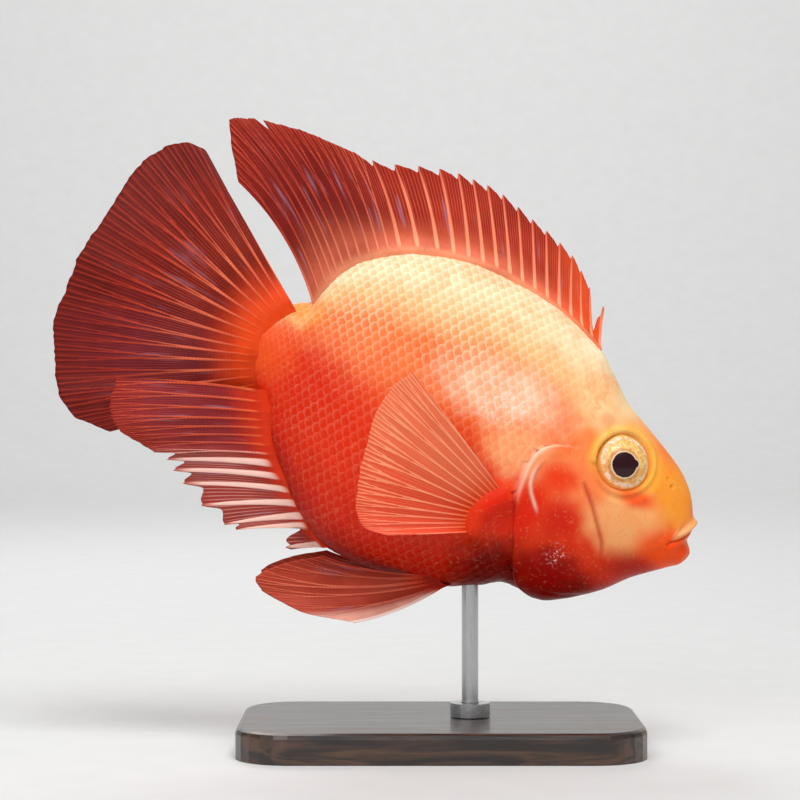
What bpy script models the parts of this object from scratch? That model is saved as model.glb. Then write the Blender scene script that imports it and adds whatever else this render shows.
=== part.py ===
"""A blood parrot cichlid at life size, swimming nose-down, held over a flat base by one rod.

The fish is modelled level, in its own frame: +X towards the snout, +Z up through the back, -Y its right side,
the origin in the middle of the body. An empty then leans that frame nose-down and lifts it over the stand.
"""

import math

import bmesh
import bpy
from mathutils import Vector

MM = 0.001
GAP = 0.3  # kept between pieces that touch, in millimetres as are all the sizes below

# The pose over the stand
LEAN = math.radians(23)
FISH_HEIGHT = 95.0

# Outlines of the body in its own frame: distance ahead of its middle, then the size there
BACK = [(-60, 12.5), (-54, 18.4), (-49.6, 21), (-47.6, 28), (-44, 35.2), (-37, 41.3), (-26, 46.8), (-8, 50.3),
        (5, 49.7), (19, 47.5), (30.5, 43.3), (36, 40.6), (42, 35.4), (49, 29.4), (58, 24.6), (66, 20.3),
        (71, 17.2), (76.3, 12.2), (79.2, 7.4), (81.3, 2.4), (82.8, -2.6)]
BELLY = [(-60, -4), (-54.7, -10.8), (-48.9, -19.1), (-39.5, -29.8), (-28.7, -39.4), (-19, -45.2), (-8, -46.4),
         (6, -44.9), (18.5, -42.6), (29, -38), (36, -34.4), (42, -34.4), (47, -34.2), (53, -31.8), (63, -25),
         (69.6, -18.3), (74.5, -14.4), (79.2, -10.8), (81.6, -9.0), (82.8, -7.2)]
HALF_WIDTH = [(-60, 3.0), (-54, 5.2), (-46, 9), (-36, 13), (-20, 18.3), (0, 22), (18, 23), (34, 22), (46, 20.3),
              (56, 17.4), (66, 13.6), (74, 10), (79, 7.2), (81.6, 4.4), (82.8, 1.6)]
WAIST = [(-60, 4), (-40, 3), (0, -4), (30, -6), (50, -4), (70, -2), (82.8, -4.4)]
BACK_SHARPNESS = 1.2
BELLY_SHARPNESS = 0.95
SNOUT_END = 82.8
TAIL_END = -60.0
HEAD_END = 36.0
STALK_START = -46.0

# Rings of the body: from this place on, one ring every so many millimetres
RING_STEPS = [(-60, 2.0), (-42, 4.4), (70, 1.5)]
BODY_SIDES = 32

# Eye
EYE_PLACE = (54.0, 12.8)
EYE_RADIUS = 9.0
EYE_DEPTH = 6.5
EYE_SINK = 3.7
EYE_RIM = 0.9
EYE_FOLLOWS_SKIN = 0.75  # the share of the skin's slant that the eye takes

# Mouth: the slit from the lips to the chin, its half opening at each point, and how far its corners droop
MOUTH_LINE = [(86, 7.5), (80.1, 1.0), (76, -2.1), (70, -7.6), (66.5, -15), (65.5, -30)]
MOUTH_DROOP = 1.8
MOUTH_SIDE = 8.0
MOUTH_HALF_OPENING = [0.55, 0.5, 0.25, 0.15, 0.15, 0.15]
UPPER_LIP = [(76.2, 7.2, -2.4), (79.0, 5.0, 1.4), (80.3, 0.0, 3.9)]
LOWER_LIP = [(76.4, 6.8, -5.6), (79.6, 4.8, -2.6), (81.0, 0.0, -1.6)]
UPPER_LIP_THICKNESS = (0.9, 1.3, 1.7)
LOWER_LIP_THICKNESS = (0.8, 1.2, 1.5)
NOSTRIL = (69.8, 11.4)
NOSTRIL_RADIUS = 0.8

# Gill cover: its outline from the side, how far it stands proud and how thick it is below the skin
COVER = [(39, 11.2), (33.5, 10.3), (29.2, 7.6), (27.4, 3.5), (26.9, -1), (27.1, -7), (29.1, -14.2), (31.9, -21.5),
         (35, -28.8), (38.3, -34.4), (42, -36.8), (47, -38.4), (52.5, -37.6), (57.4, -32.5), (60.2, -25.5),
         (59.8, -19.5), (56.8, -13), (51.5, -5.5), (45.5, 2), (42.6, 8.2)]
COVER_STEPS = 2
COVER_PROUD = 0.9
COVER_THICKNESS = 1.8
COVER_INNER = 2.0

# Fin rays, from front to back: number of the ray, its root on the body and its tip, both seen from the side
DORSAL_RAYS = [(0, (34.6, 41.4), (30.4, 53.4)), (1, (31.2, 43.2), (24.6, 57.2)), (3, (23.0, 46.3), (15.9, 63.8)),
               (6, (10.1, 49.2), (0.7, 69.1)), (9, (-3.0, 50.9), (-15.7, 73.2)), (11, (-11.9, 50.3), (-25.2, 73.1)),
               (13, (-21.4, 48.9), (-37.0, 70.3)), (15, (-32.1, 45.0), (-50.4, 66.6)),
               (18, (-39.6, 39.6), (-68.2, 66.9)), (20, (-43.6, 35.2), (-80.2, 66.0)),
               (22, (-46.3, 30.8), (-90.0, 63.8)), (24, (-48.0, 26.2), (-95.1, 61.3)),
               (25, (-48.9, 23.0), (-90.8, 53.4)), (26, (-49.4, 19.6), (-86.0, 46.0))]
TAIL_RAYS = [(0, (-56.7, 18.1), (-96.2, 50.4)), (1, (-58.0, 16.8), (-105.0, 50.4)),
             (3, (-59.9, 13.0), (-115.2, 39.9)), (5, (-60.9, 9.0), (-118.8, 21.2)),
             (7, (-61.0, 4.7), (-121.3, 4.3)), (9, (-60.2, 0.5), (-121.6, -11.8)),
             (11, (-59.1, -2.9), (-117.6, -24.2)), (13, (-57.1, -6.7), (-110.4, -36.4)),
             (15, (-54.2, -10.6), (-95.4, -41.2))]
ANAL_RAYS = [(0, (-19.1, -45.6), (-29.0, -50.6)), (1, (-24.9, -41.9), (-44.7, -51.5)),
             (2, (-27.0, -39.2), (-48.6, -51.5)), (3, (-30.1, -36.6), (-57.0, -48.8)),
             (4, (-33.8, -33.9), (-64.8, -44.9)), (5, (-38.1, -31.5), (-69.0, -42.4)),
             (6, (-41.6, -28.7), (-72.0, -40.2)), (8, (-45.5, -24.2), (-80.4, -38.9)),
             (10, (-48.6, -20.0), (-87.8, -37.5)), (12, (-51.0, -15.8), (-93.2, -32.4)),
             (14, (-52.7, -12.6), (-94.8, -23.9))]
PECTORAL_RAYS = [(0, (24.9, -10.3), (-14.6, 12.1)), (2, (23.2, -11.7), (-18.6, 5.5)),
                 (4, (21.2, -13.8), (-19.6, -3.8)), (6, (19.6, -16.1), (-18.3, -13.6)),
                 (8, (18.5, -18.2), (-16.3, -23.9)), (10, (18.5, -20.5), (-13.7, -30.6)),
                 (12, (19.2, -22.2), (-9.0, -34.1)), (13, (20.3, -23.3), (-3.7, -33.5))]
PELVIC_RAYS = [(0, (18.8, -42.8), (-2.4, -62.0)), (1, (17.5, -42.8), (-18.0, -65.0)),
               (2, (16.0, -42.4), (-30.6, -63.8)), (3, (14.9, -41.9), (-33.5, -60.8)),
               (4, (13.7, -41.4), (-26.3, -53.2)), (5, (12.5, -41.0), (-18.2, -47.8))]
DORSAL_SPINES = 16
ANAL_SPINES = 7

# Notches in a fin's edge behind a ray: the share of the ray that is missing right behind it, then at a place on
# the way to the next ray, then that place
SOFT_NOTCH = (0.012, 0.012, 0.5)
DORSAL_NOTCH = (0.08, 0.035, 0.5)
ANAL_NOTCH = (0.03, 0.15, 0.76)
DORSAL_NOTCHES = {0: (0.3, 0.8, 0.8), 21: (0.07, 0.0, 0.5)}
ANAL_NOTCHES = {0: (0.25, 0.85, 0.82)}
MEMBRANE = 0.28  # half its thickness
MARGIN = 0.2  # half the thickness at a fin's outer edge

# Stand
BASE_LENGTH = 120.0
BASE_DEPTH = 74.0
BASE_THICKNESS = 9.0
BASE_CORNER = 16.0
BASE_EDGE = 1.6
ROD_RADIUS = 2.5
ROD_PLACE = 9.0  # along the stand, under the belly ahead of the pelvic fins
ROD_IN_BASE = 5.0
ROD_IN_BELLY = 8.0
BELLY_OVER_ROD = 47.2  # how far the belly over the rod lies below the middle of the fish
COLLAR_RADIUS = 6.0
COLLAR_HEIGHT = 4.0


# Curves and materials

def curve_through(points):
    """A smooth function through (place, size) points that doesn't overshoot between them."""
    places = [p[0] for p in points]
    sizes = [p[1] for p in points]
    rises = [(sizes[i + 1] - sizes[i]) / (places[i + 1] - places[i]) for i in range(len(points) - 1)]
    slopes = [rises[0]]
    for before, after in zip(rises, rises[1:]):
        slopes.append(0 if before * after <= 0 else 2 * before * after / (before + after))
    slopes.append(rises[-1])

    def size_at(place):
        last = len(points) - 2
        i = next((k for k in range(last) if place < places[k + 1]), last)
        span = places[i + 1] - places[i]
        t = (place - places[i]) / span
        if t < 0 or t > 1:  # straight on past either end
            end = i if t < 0 else i + 1
            return sizes[end] + slopes[end] * (place - places[end])
        return (sizes[i] * (2 * t**3 - 3 * t**2 + 1) + slopes[i] * span * (t**3 - 2 * t**2 + t)
                + sizes[i + 1] * (3 * t**2 - 2 * t**3) + slopes[i + 1] * span * (t**3 - t**2))

    return size_at


def finish(name, colour, roughness, metallic=0.0):
    material = bpy.data.materials.new(name)
    material.use_nodes = True
    shader = material.node_tree.nodes["Principled BSDF"]
    shader.inputs["Base Color"].default_value = (*colour, 1)
    shader.inputs["Roughness"].default_value = roughness
    shader.inputs["Metallic"].default_value = metallic
    material.diffuse_color = (*colour, 1)
    return material


# Meshes

def face_outwards(bm):
    bm.normal_update()
    bmesh.ops.recalc_face_normals(bm, faces=bm.faces)
    return bm


def add_object(bm, name, material=None, parent=None):
    """A named object in the scene from a bmesh in millimetres, which it frees."""
    for v in bm.verts:
        v.co *= MM
    mesh = bpy.data.meshes.new(name)
    bm.to_mesh(mesh)
    bm.free()
    if material:
        mesh.materials.append(material)
    node = bpy.data.objects.new(name, mesh)
    node.parent = parent
    bpy.context.scene.collection.objects.link(node)
    return node


def mapped_grid(columns, rows, place):
    """A grid of columns by rows points, each moved to place(column, row)."""
    bm = bmesh.new()
    bmesh.ops.create_grid(bm, x_segments=columns - 1, y_segments=rows - 1, size=1)
    for v in bm.verts:
        column = round((v.co.x + 1) / 2 * (columns - 1))
        row = round((v.co.y + 1) / 2 * (rows - 1))
        v.co = place(column, row)
    return bm


def closed_tube(rings, sides, place):
    """A tube whose rings follow place(ring, turn), with its seam merged and both ends closed."""
    bm = mapped_grid(rings, sides + 1, lambda ring, side: place(ring, 2 * math.pi * side / sides))
    bmesh.ops.remove_doubles(bm, verts=bm.verts, dist=1e-4)
    bmesh.ops.holes_fill(bm, edges=bm.edges, sides=0)
    return face_outwards(bm)


def grow(bm, by):
    """Moves the skin of a closed shape outwards."""
    bm.normal_update()
    moves = [(v, v.normal * by) for v in bm.verts]
    for v, move in moves:
        v.co += move
    return bm


def prism(outline, levels):
    """An outline seen from the side, carried across the fish through each of these levels."""
    bm = bmesh.new()
    face = bm.faces.new([bm.verts.new((x, levels[0], z)) for x, z in outline])
    for i, level in enumerate(levels[1:]):
        made = bmesh.ops.extrude_face_region(bm, geom=[face], use_keep_orig=True)
        moved = [v for v in made["geom"] if isinstance(v, bmesh.types.BMVert)]
        bmesh.ops.translate(bm, verts=moved, vec=(0, level - levels[i], 0))
        if i > 0:
            bmesh.ops.delete(bm, geom=[face], context="FACES_ONLY")
        face = next(f for f in made["geom"] if isinstance(f, bmesh.types.BMFace))
    return face_outwards(bm)


def smooth_outline(points, steps, closed=False):
    """A smooth line through the points, with this many steps between each pair of them."""
    knots = list(enumerate(points + points[:1] if closed else points))
    along = [curve_through([(i, p[axis]) for i, p in knots]) for axis in (0, 1)]
    count = (len(knots) - 1) * steps + (0 if closed else 1)
    return [(along[0](i / steps), along[1](i / steps)) for i in range(count)]


def offset_line(points, by, closed=False):
    """The points moved sideways from the line they make, to its left as seen with X to the right and Z up."""
    moved = []
    count = len(points)
    widths = by if isinstance(by, list) else [by] * count
    for i, point in enumerate(points):
        before = points[i - 1] if closed or i > 0 else point
        after = points[(i + 1) % count] if closed or i < count - 1 else point
        along = (Vector(after) - Vector(before)).normalized()
        moved.append((point[0] - along.y * widths[i], point[1] + along.x * widths[i]))
    return moved


def cylinder(radius, low_z, high_z, sides=24, x=0.0):
    bm = bmesh.new()
    bmesh.ops.create_cone(bm, cap_ends=True, segments=sides, radius1=radius, radius2=radius, depth=high_z - low_z)
    bmesh.ops.translate(bm, verts=bm.verts, vec=(x, 0, (low_z + high_z) / 2))
    return bm


# Joining and cutting

def islands(bm):
    """The closed surfaces of a mesh, the largest first."""
    left = set(bm.faces)
    found = []
    while left:
        group, edge_of = [], [left.pop()]
        while edge_of:
            face = edge_of.pop()
            group.append(face)
            near = {f for e in face.edges for f in e.link_faces if f in left}
            left -= near
            edge_of.extend(near)
        found.append(group)
    return sorted(found, key=lambda group: sum(f.calc_area() for f in group), reverse=True)


def combine(node, operation, others, keep=1):
    """Joins or cuts the node by the other objects, which are then removed, and keeps its largest surfaces."""
    helpers = bpy.data.collections.new("helpers")
    bpy.context.scene.collection.children.link(helpers)
    for other in others:
        helpers.objects.link(other)
    modifier = node.modifiers.new("join", "BOOLEAN")
    modifier.operation = operation
    modifier.operand_type = "COLLECTION"
    modifier.collection = helpers
    bpy.context.view_layer.update()
    graph = bpy.context.evaluated_depsgraph_get()
    result = bpy.data.meshes.new_from_object(node.evaluated_get(graph))
    node.modifiers.clear()
    node.data = result
    for other in others:
        bpy.data.objects.remove(other)
    bpy.data.collections.remove(helpers)
    bm = bmesh.new()
    bm.from_mesh(result)
    for scrap in islands(bm)[keep:]:
        bmesh.ops.delete(bm, geom=scrap, context="FACES")
    bm.to_mesh(result)
    bm.free()
    return node


def round_off(node, sharpest=math.radians(40)):
    """Smooth shading, with the folds sharper than this left crisp."""
    node.data.shade_smooth()
    node.data.set_sharp_from_angle(angle=sharpest)


# Body

back_at = curve_through(BACK)
belly_at = curve_through(BELLY)
half_width_at = curve_through(HALF_WIDTH)
waist_at = curve_through(WAIST)


def body_point(x, turn):
    """A point of the skin: turn runs round the body from the back, over the left side, to the belly and up."""
    upright, across = math.cos(turn), math.sin(turn)
    waist = waist_at(x)
    reach = back_at(x) - waist if upright > 0 else waist - belly_at(x)
    sharpness = BACK_SHARPNESS if upright > 0 else BELLY_SHARPNESS
    return Vector((x, math.copysign(half_width_at(x) * abs(across) ** sharpness, across), waist + reach * upright))


def skin_reach(x, z):
    """How far out to the side the skin lies at this place of the body."""
    waist = waist_at(x)
    above = z > waist
    upright = min(1.0, (z - waist) / (back_at(x) - waist) if above else (waist - z) / (waist - belly_at(x)))
    return half_width_at(x) * math.sqrt(1 - upright**2) ** (BACK_SHARPNESS if above else BELLY_SHARPNESS)


def ring_places():
    places = []
    ends = [start for start, _ in RING_STEPS[1:]] + [SNOUT_END]
    for (start, step), end in zip(RING_STEPS, ends):
        count = max(1, round((end - start) / step))
        places += [start + (end - start) * k / count for k in range(count)]
    return places + [SNOUT_END]


def whole_body(grown=0.0):
    """The body from the tail's root to the snout, without fins, as one closed surface."""
    places = ring_places()
    bm = closed_tube(len(places), BODY_SIDES, lambda ring, turn: body_point(places[ring], turn))
    return grow(bm, grown) if grown else bm


def body_length_of(low_x, high_x):
    """The part of the body between two planes across it."""
    bm = whole_body()
    for x, direction in ((low_x, -1), (high_x, 1)):
        if TAIL_END < x < SNOUT_END:
            everything = bm.verts[:] + bm.edges[:] + bm.faces[:]
            bmesh.ops.bisect_plane(bm, geom=everything, plane_co=(x, 0, 0), plane_no=(direction, 0, 0),
                                   clear_outer=True)
            bmesh.ops.holes_fill(bm, edges=bm.edges, sides=0)
    return face_outwards(bm)


# Head

def eye_frame(side):
    """Where the eye's middle meets the skin, and its directions ahead, up and out of the head."""
    x, z = EYE_PLACE
    step = 2.0
    slant_x = (skin_reach(x + step, z) - skin_reach(x - step, z)) / (2 * step)
    slant_z = (skin_reach(x, z + step) - skin_reach(x, z - step)) / (2 * step)
    out = Vector((-slant_x * EYE_FOLLOWS_SKIN, side, -slant_z * EYE_FOLLOWS_SKIN)).normalized()
    ahead = Vector((1, 0, 0))
    ahead = (ahead - out * ahead.dot(out)).normalized()
    return Vector((x, side * skin_reach(x, z), z)), ahead, out.cross(ahead) * -side, out


def eye_shape(side, grown=0.0):
    """The eyeball, flattened across the head, sunk below the skin and turned with it."""
    middle, ahead, up, out = eye_frame(side)
    bm = bmesh.new()
    bmesh.ops.create_uvsphere(bm, u_segments=20, v_segments=9, radius=1)
    for v in bm.verts:
        v.co = (middle + (ahead * v.co.x + up * v.co.y) * (EYE_RADIUS + grown)
                + out * (v.co.z * (EYE_DEPTH + grown) - EYE_SINK))
    return face_outwards(bm)


def eye_rim(side):
    """The low ring of skin round the eye."""
    middle, ahead, up, out = eye_frame(side)
    steps = 24

    def place(column, turn):
        round_eye = 2 * math.pi * column / steps
        reach = EYE_RADIUS - 0.5 + EYE_RIM * math.cos(turn)
        ring = middle + (ahead * math.cos(round_eye) + up * math.sin(round_eye)) * reach
        skin = Vector((ring.x, side * skin_reach(ring.x, ring.z), ring.z))
        return skin + out * (EYE_RIM * math.sin(turn) - 0.2)

    bm = mapped_grid(steps + 1, 9, lambda column, row: place(column, 2 * math.pi * row / 8))
    bmesh.ops.remove_doubles(bm, verts=bm.verts, dist=1e-4)
    return face_outwards(bm)


def lip(points, thickness):
    """A lip that runs from one corner of the mouth round the front to the other."""
    half = len(points) - 1
    marks = [(k - half, p) for k, p in enumerate(points)] + [(half - k, (p[0], -p[1], p[2]))
                                                             for k, p in reversed(list(enumerate(points[:-1])))]
    along = [curve_through([(mark, p[axis]) for mark, p in marks]) for axis in range(3)]
    thick = curve_through([(mark, thickness[half - abs(mark)]) for mark, _ in marks])
    rings = 13

    def place(ring, turn):
        mark = -half + 2 * half * ring / (rings - 1)
        centre = Vector([f(mark) for f in along])
        ahead = Vector([f(mark + 0.05) for f in along]) - Vector([f(mark - 0.05) for f in along])
        side = ahead.cross(Vector((0, 0, 1))).normalized()
        lift = side.cross(ahead).normalized()
        return centre + (side * math.cos(turn) + lift * math.sin(turn)) * thick(mark)

    return closed_tube(rings, 10, place)


def mouth_cut():
    steps = 3
    line = smooth_outline(MOUTH_LINE, steps)
    opening = curve_through(list(enumerate(MOUTH_HALF_OPENING)))
    widths = [opening(i / steps) for i in range(len(line))]
    above = offset_line(line, widths)
    below = offset_line(line, [-width for width in widths])
    bm = prism(above + below[::-1], [-40, -8, -5, -2.5, 0, 2.5, 5, 8, 40])
    for v in bm.verts:
        v.co.z -= MOUTH_DROOP * min(1.0, abs(v.co.y) / MOUTH_SIDE) ** 2
    return bm


def nostril(side):
    x, z = NOSTRIL
    bm = bmesh.new()
    bmesh.ops.create_icosphere(bm, subdivisions=2, radius=NOSTRIL_RADIUS)
    bmesh.ops.translate(bm, verts=bm.verts, vec=(x, side * skin_reach(x, z), z))
    return bm


def gill_pocket(side):
    """The shallow hollow that the gill cover lies in, a gap wider than the cover all round."""
    outline = offset_line(smooth_outline(COVER, COVER_STEPS, closed=True), -GAP, closed=True)
    low, high = sorted((side * (COVER_INNER - GAP), side * 40))
    pocket = add_object(prism(outline, [low, high]), "pocket")
    return combine(pocket, "DIFFERENCE", [add_object(whole_body(-COVER_THICKNESS - GAP), "core")])


def gill_cover(side, name, material, parent):
    low, high = sorted((side * COVER_INNER, side * 40))
    cover = add_object(whole_body(COVER_PROUD), name, material)
    outline = smooth_outline(COVER, COVER_STEPS, closed=True)
    combine(cover, "INTERSECT", [add_object(prism(outline, [low, high]), "outline")])
    combine(cover, "DIFFERENCE", [add_object(whole_body(-COVER_THICKNESS), "core")])
    cover.parent = parent
    round_off(cover)
    return cover


def build_head(skin, parent):
    head = add_object(body_length_of(HEAD_END + GAP / 2, SNOUT_END), "head", skin)
    rims = [add_object(eye_rim(side), "rim") for side in (-1, 1)]
    lips = [add_object(lip(UPPER_LIP, UPPER_LIP_THICKNESS), "lip"),
            add_object(lip(LOWER_LIP, LOWER_LIP_THICKNESS), "lip")]
    combine(head, "UNION", rims + lips)
    cuts = [add_object(eye_shape(side, GAP), "socket") for side in (-1, 1)]
    cuts += [add_object(nostril(side), "nostril") for side in (-1, 1)]
    cuts += [gill_pocket(side) for side in (-1, 1)]
    cuts.append(add_object(mouth_cut(), "mouth"))
    combine(head, "DIFFERENCE", cuts, keep=2)
    bm = bmesh.new()
    bm.from_mesh(head.data)
    jaw_bm = bm.copy()
    bmesh.ops.delete(bm, geom=islands(bm)[1], context="FACES")
    bmesh.ops.delete(jaw_bm, geom=islands(jaw_bm)[0], context="FACES")
    bm.to_mesh(head.data)
    bm.free()
    bmesh.ops.scale(jaw_bm, verts=jaw_bm.verts, vec=(1 / MM,) * 3)
    jaw = add_object(jaw_bm, "lower_jaw", skin, parent)
    head.parent = parent
    for piece in (head, jaw):
        round_off(piece)


# Fins

def fin_shape(rays, rows, sink, ridge, root_half, side_at, spines=0, notch=SOFT_NOTCH, notches=None, bends=(0, 0)):
    """A fin with its rays raised on both faces, seen from the side as the rays say.

    sink is how far each ray starts inside the body, ridge the half width and height of a ray at its root,
    root_half half the fin's thickness there, side_at(ray, share) how far the fin lies to the left, notch the
    edge behind each spine, notches the edge behind single rays, and bends how far the first and the last ray
    bow up, as shares of their length.
    """
    last = rays[-1][0]
    along = [curve_through([(ray[0], ray[end][axis]) for ray in rays]) for end in (1, 2) for axis in (0, 1)]
    columns = []  # the ray, the side of it from -1 to 1, and 2 for the middle of a spiny membrane
    for ray in range(last + 1):
        columns += [(ray, -1), (ray, 0), (ray, 1)]
        if ray < spines:
            columns.append((ray, 2))

    def notch_of(ray):
        return (notches or {}).get(ray, notch if ray < spines else SOFT_NOTCH)

    def reach_of(ray, side):
        """The share of the ray's length at which the fin ends in this column."""
        return 1 - notch_of(ray)[side - 1] if side > 0 else 1.0

    def flat_point(ray, share):
        root = Vector((along[0](ray), along[1](ray)))
        tip = Vector((along[2](ray), along[3](ray)))
        line = tip - root
        across = Vector((-line.y, line.x)).normalized()
        if across.y < 0:
            across = -across
        inside = max(share, 0) * (1 - max(share, 0))
        bend = bends[0] + (bends[1] - bends[0]) * ray / last
        return root + line * share + across * (4 * bend * line.length * inside), line.length

    def point(column, row, face):
        ray, side = columns[column]
        length = flat_point(ray, 1)[1]
        reach = reach_of(ray, side)
        share = -sink / length + (reach + sink / length) * row / (rows - 1)
        grown = max(share, 0)
        taper = 1 - 0.62 * grown

        def half_ray(at):
            spacing = max(0.3, (flat_point(at + 0.5, grown)[0] - flat_point(at - 0.5, grown)[0]).length)
            return min(0.36, ridge[0] * taper / spacing)

        if side == 2:
            between = 1 - half_ray(ray) - half_ray(ray + 1)
            step = half_ray(ray) + between * notch_of(ray)[2]
        else:
            step = side * half_ray(ray)
        flat = flat_point(min(max(ray + step, -0.3), last + 0.3), share)[0]
        skin = MEMBRANE + (root_half - MEMBRANE) * max(0.0, 1 - grown / 0.3) ** 2
        half = skin + (ridge[1] * taper if side == 0 else 0)
        if row == rows - 1:
            half = MARGIN + (0.15 if side == 0 else 0)
        return Vector((flat.x, side_at(ray + step, grown) + face * half, flat.y))

    bm = mapped_grid(len(columns), rows, lambda column, row: Vector((column, row, 0)))
    bmesh.ops.triangulate(bm, faces=bm.faces, quad_method="FIXED")
    made = bmesh.ops.extrude_face_region(bm, geom=bm.faces[:], use_keep_orig=True)
    left = {v for v in made["geom"] if isinstance(v, bmesh.types.BMVert)}
    for v in bm.verts:
        v.co = point(round(v.co.x), round(v.co.y), 1 if v in left else -1)
    return face_outwards(bm)


def build_fin(name, material, parent, bm):
    """Cuts the fin clear of the body that it grows from, and puts it in the scene."""
    fin = add_object(bm, name, material)
    combine(fin, "DIFFERENCE", [add_object(whole_body(GAP), "body")])
    fin.parent = parent
    round_off(fin)
    return fin


def dorsal_side(ray, share):
    """The soft rear part of the back fin leans gently to the left."""
    return 3.5 * max(0.0, (ray - DORSAL_SPINES) / 10) * share**2


def tail_side(ray, share):
    """The tail sweeps to the left, with a slow wave across it, and its lower edge starts left of the anal fin."""
    return (8.0 + 2.2 * math.sin(ray * 0.75)) * share**1.6 + 1.7 * min(1.0, max(0.0, (ray - 10) / 4))


def anal_side(ray, share):
    """The soft rear part trails to the right of the tail."""
    return -(0.4 + 5.2 * share) * min(1.0, max(0.0, (ray - 4) / 6)) - 1.6 * min(1.0, max(0.0, (ray - 9) / 3))


def pectoral_side(side):
    def side_at(ray, share):
        root_x, root_z = PECTORAL_ROOT[0](ray), PECTORAL_ROOT[1](ray)
        return side * (skin_reach(root_x, root_z) - 1.6 + 45 * (0.56 * share - 0.2 * share**2))
    return side_at


def pelvic_side(side):
    def side_at(ray, share):
        return side * (5.6 + 0.25 * ray + (13 - 0.8 * ray) * share - 3 * share**2)
    return side_at


PECTORAL_ROOT = [curve_through([(ray[0], ray[1][axis]) for ray in PECTORAL_RAYS]) for axis in (0, 1)]


def build_fins(spiny, soft, parent):
    build_fin("dorsal_fin", spiny, parent,
              fin_shape(DORSAL_RAYS, 6, 3.0, (0.9, 0.5), 1.3, dorsal_side, spines=DORSAL_SPINES,
                        notch=DORSAL_NOTCH, notches=DORSAL_NOTCHES, bends=(-0.02, 0.07)))
    build_fin("anal_fin", spiny, parent,
              fin_shape(ANAL_RAYS, 7, 3.0, (1.3, 0.75), 1.2, anal_side, spines=ANAL_SPINES,
                        notch=ANAL_NOTCH, notches=ANAL_NOTCHES, bends=(0.02, 0.02)))
    build_fin("tail_fin", soft, parent,
              fin_shape(TAIL_RAYS, 6, 5.0, (0.9, 0.45), 2.2, tail_side))
    for side, word in ((-1, "right"), (1, "left")):
        build_fin("pectoral_fin_" + word, soft, parent,
                  fin_shape(PECTORAL_RAYS, 6, 2.0, (0.6, 0.35), 2.2, pectoral_side(side)))
        build_fin("pelvic_fin_" + word, spiny, parent,
                  fin_shape(PELVIC_RAYS, 6, 2.5, (1.1, 0.6), 1.8, pelvic_side(side), bends=(-0.05, -0.05)))


# Stand

def build_stand(wood, steel):
    base_bm = bmesh.new()
    bmesh.ops.create_cube(base_bm, size=1)
    bmesh.ops.scale(base_bm, verts=base_bm.verts, vec=(BASE_LENGTH, BASE_DEPTH, BASE_THICKNESS))
    bmesh.ops.translate(base_bm, verts=base_bm.verts, vec=(0, 0, BASE_THICKNESS / 2))
    upright = [e for e in base_bm.edges if abs(e.verts[0].co.z - e.verts[1].co.z) > 1]
    bmesh.ops.bevel(base_bm, geom=upright, offset=BASE_CORNER, offset_type="OFFSET", segments=6, profile=0.5,
                    affect="EDGES", material=-1)
    top = [e for e in base_bm.edges if all(v.co.z > BASE_THICKNESS - 0.1 for v in e.verts)]
    bmesh.ops.bevel(base_bm, geom=top, offset=BASE_EDGE, offset_type="OFFSET", segments=2, profile=0.5,
                    affect="EDGES", material=-1)
    base = add_object(base_bm, "stand_base", wood)
    bore = ROD_RADIUS + GAP
    hole_floor = BASE_THICKNESS - ROD_IN_BASE
    combine(base, "DIFFERENCE", [add_object(cylinder(bore, hole_floor, 20, x=ROD_PLACE), "bore")])
    rod_top = FISH_HEIGHT - BELLY_OVER_ROD + ROD_IN_BELLY
    add_object(cylinder(ROD_RADIUS, hole_floor + GAP, rod_top, x=ROD_PLACE), "stand_rod", steel)
    low = BASE_THICKNESS + GAP
    collar = add_object(cylinder(COLLAR_RADIUS, low, low + COLLAR_HEIGHT, x=ROD_PLACE), "stand_collar", steel)
    combine(collar, "DIFFERENCE", [add_object(cylinder(bore, 0, 30, x=ROD_PLACE), "bore")])
    bore_in_belly = add_object(cylinder(bore, rod_top - 30, rod_top + GAP, x=ROD_PLACE), "belly_bore")
    for piece in (base, collar, bpy.data.objects["stand_rod"]):
        round_off(piece)
    return bore_in_belly


def build_trunk(skin, parent, belly_bore):
    """The trunk and the tail stalk. The rod's bore is upright in the leaning fish."""
    trunk = add_object(body_length_of(STALK_START + GAP / 2, HEAD_END - GAP / 2), "trunk", skin)
    combine(trunk, "DIFFERENCE", [gill_pocket(side) for side in (-1, 1)])
    trunk.parent = parent
    combine(trunk, "DIFFERENCE", [belly_bore])
    stalk = add_object(body_length_of(TAIL_END, STALK_START - GAP / 2), "tail_stalk", skin, parent)
    for piece in (trunk, stalk):
        round_off(piece)


def main():
    for old in list(bpy.data.objects):
        bpy.data.objects.remove(old)
    fish = bpy.data.objects.new("fish_pose", None)
    bpy.context.scene.collection.objects.link(fish)
    fish.location = (0, 0, FISH_HEIGHT * MM)
    fish.rotation_euler = (0, LEAN, 0)
    skin = finish("skin", (0.83, 0.24, 0.08), 0.35)
    spiny = finish("spiny_fin", (0.45, 0.08, 0.05), 0.4)
    soft = finish("soft_fin", (0.55, 0.12, 0.06), 0.4)
    eye = finish("eye", (0.8, 0.45, 0.1), 0.1)
    wood = finish("dark_wood", (0.08, 0.045, 0.03), 0.45)
    steel = finish("steel", (0.6, 0.6, 0.6), 0.3, 1.0)
    build_trunk(skin, fish, build_stand(wood, steel))
    build_head(skin, fish)
    for side, word in ((-1, "right"), (1, "left")):
        gill_cover(side, "gill_cover_" + word, skin, fish)
        round_off(add_object(eye_shape(side), "eye_" + word, eye, fish))
    build_fins(spiny, soft, fish)


main()
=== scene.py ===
"""The looks of a blood parrot cichlid: a still, life-size model swimming nose-down over a display stand.

Sizes are in millimetres. The fish is shaped level, in its own frame: +X towards the snout, +Z up through its
back and -Y its right side. in_pose then leans it and lifts it over the stand, where the frame's solids are.
"""

import math

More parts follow.
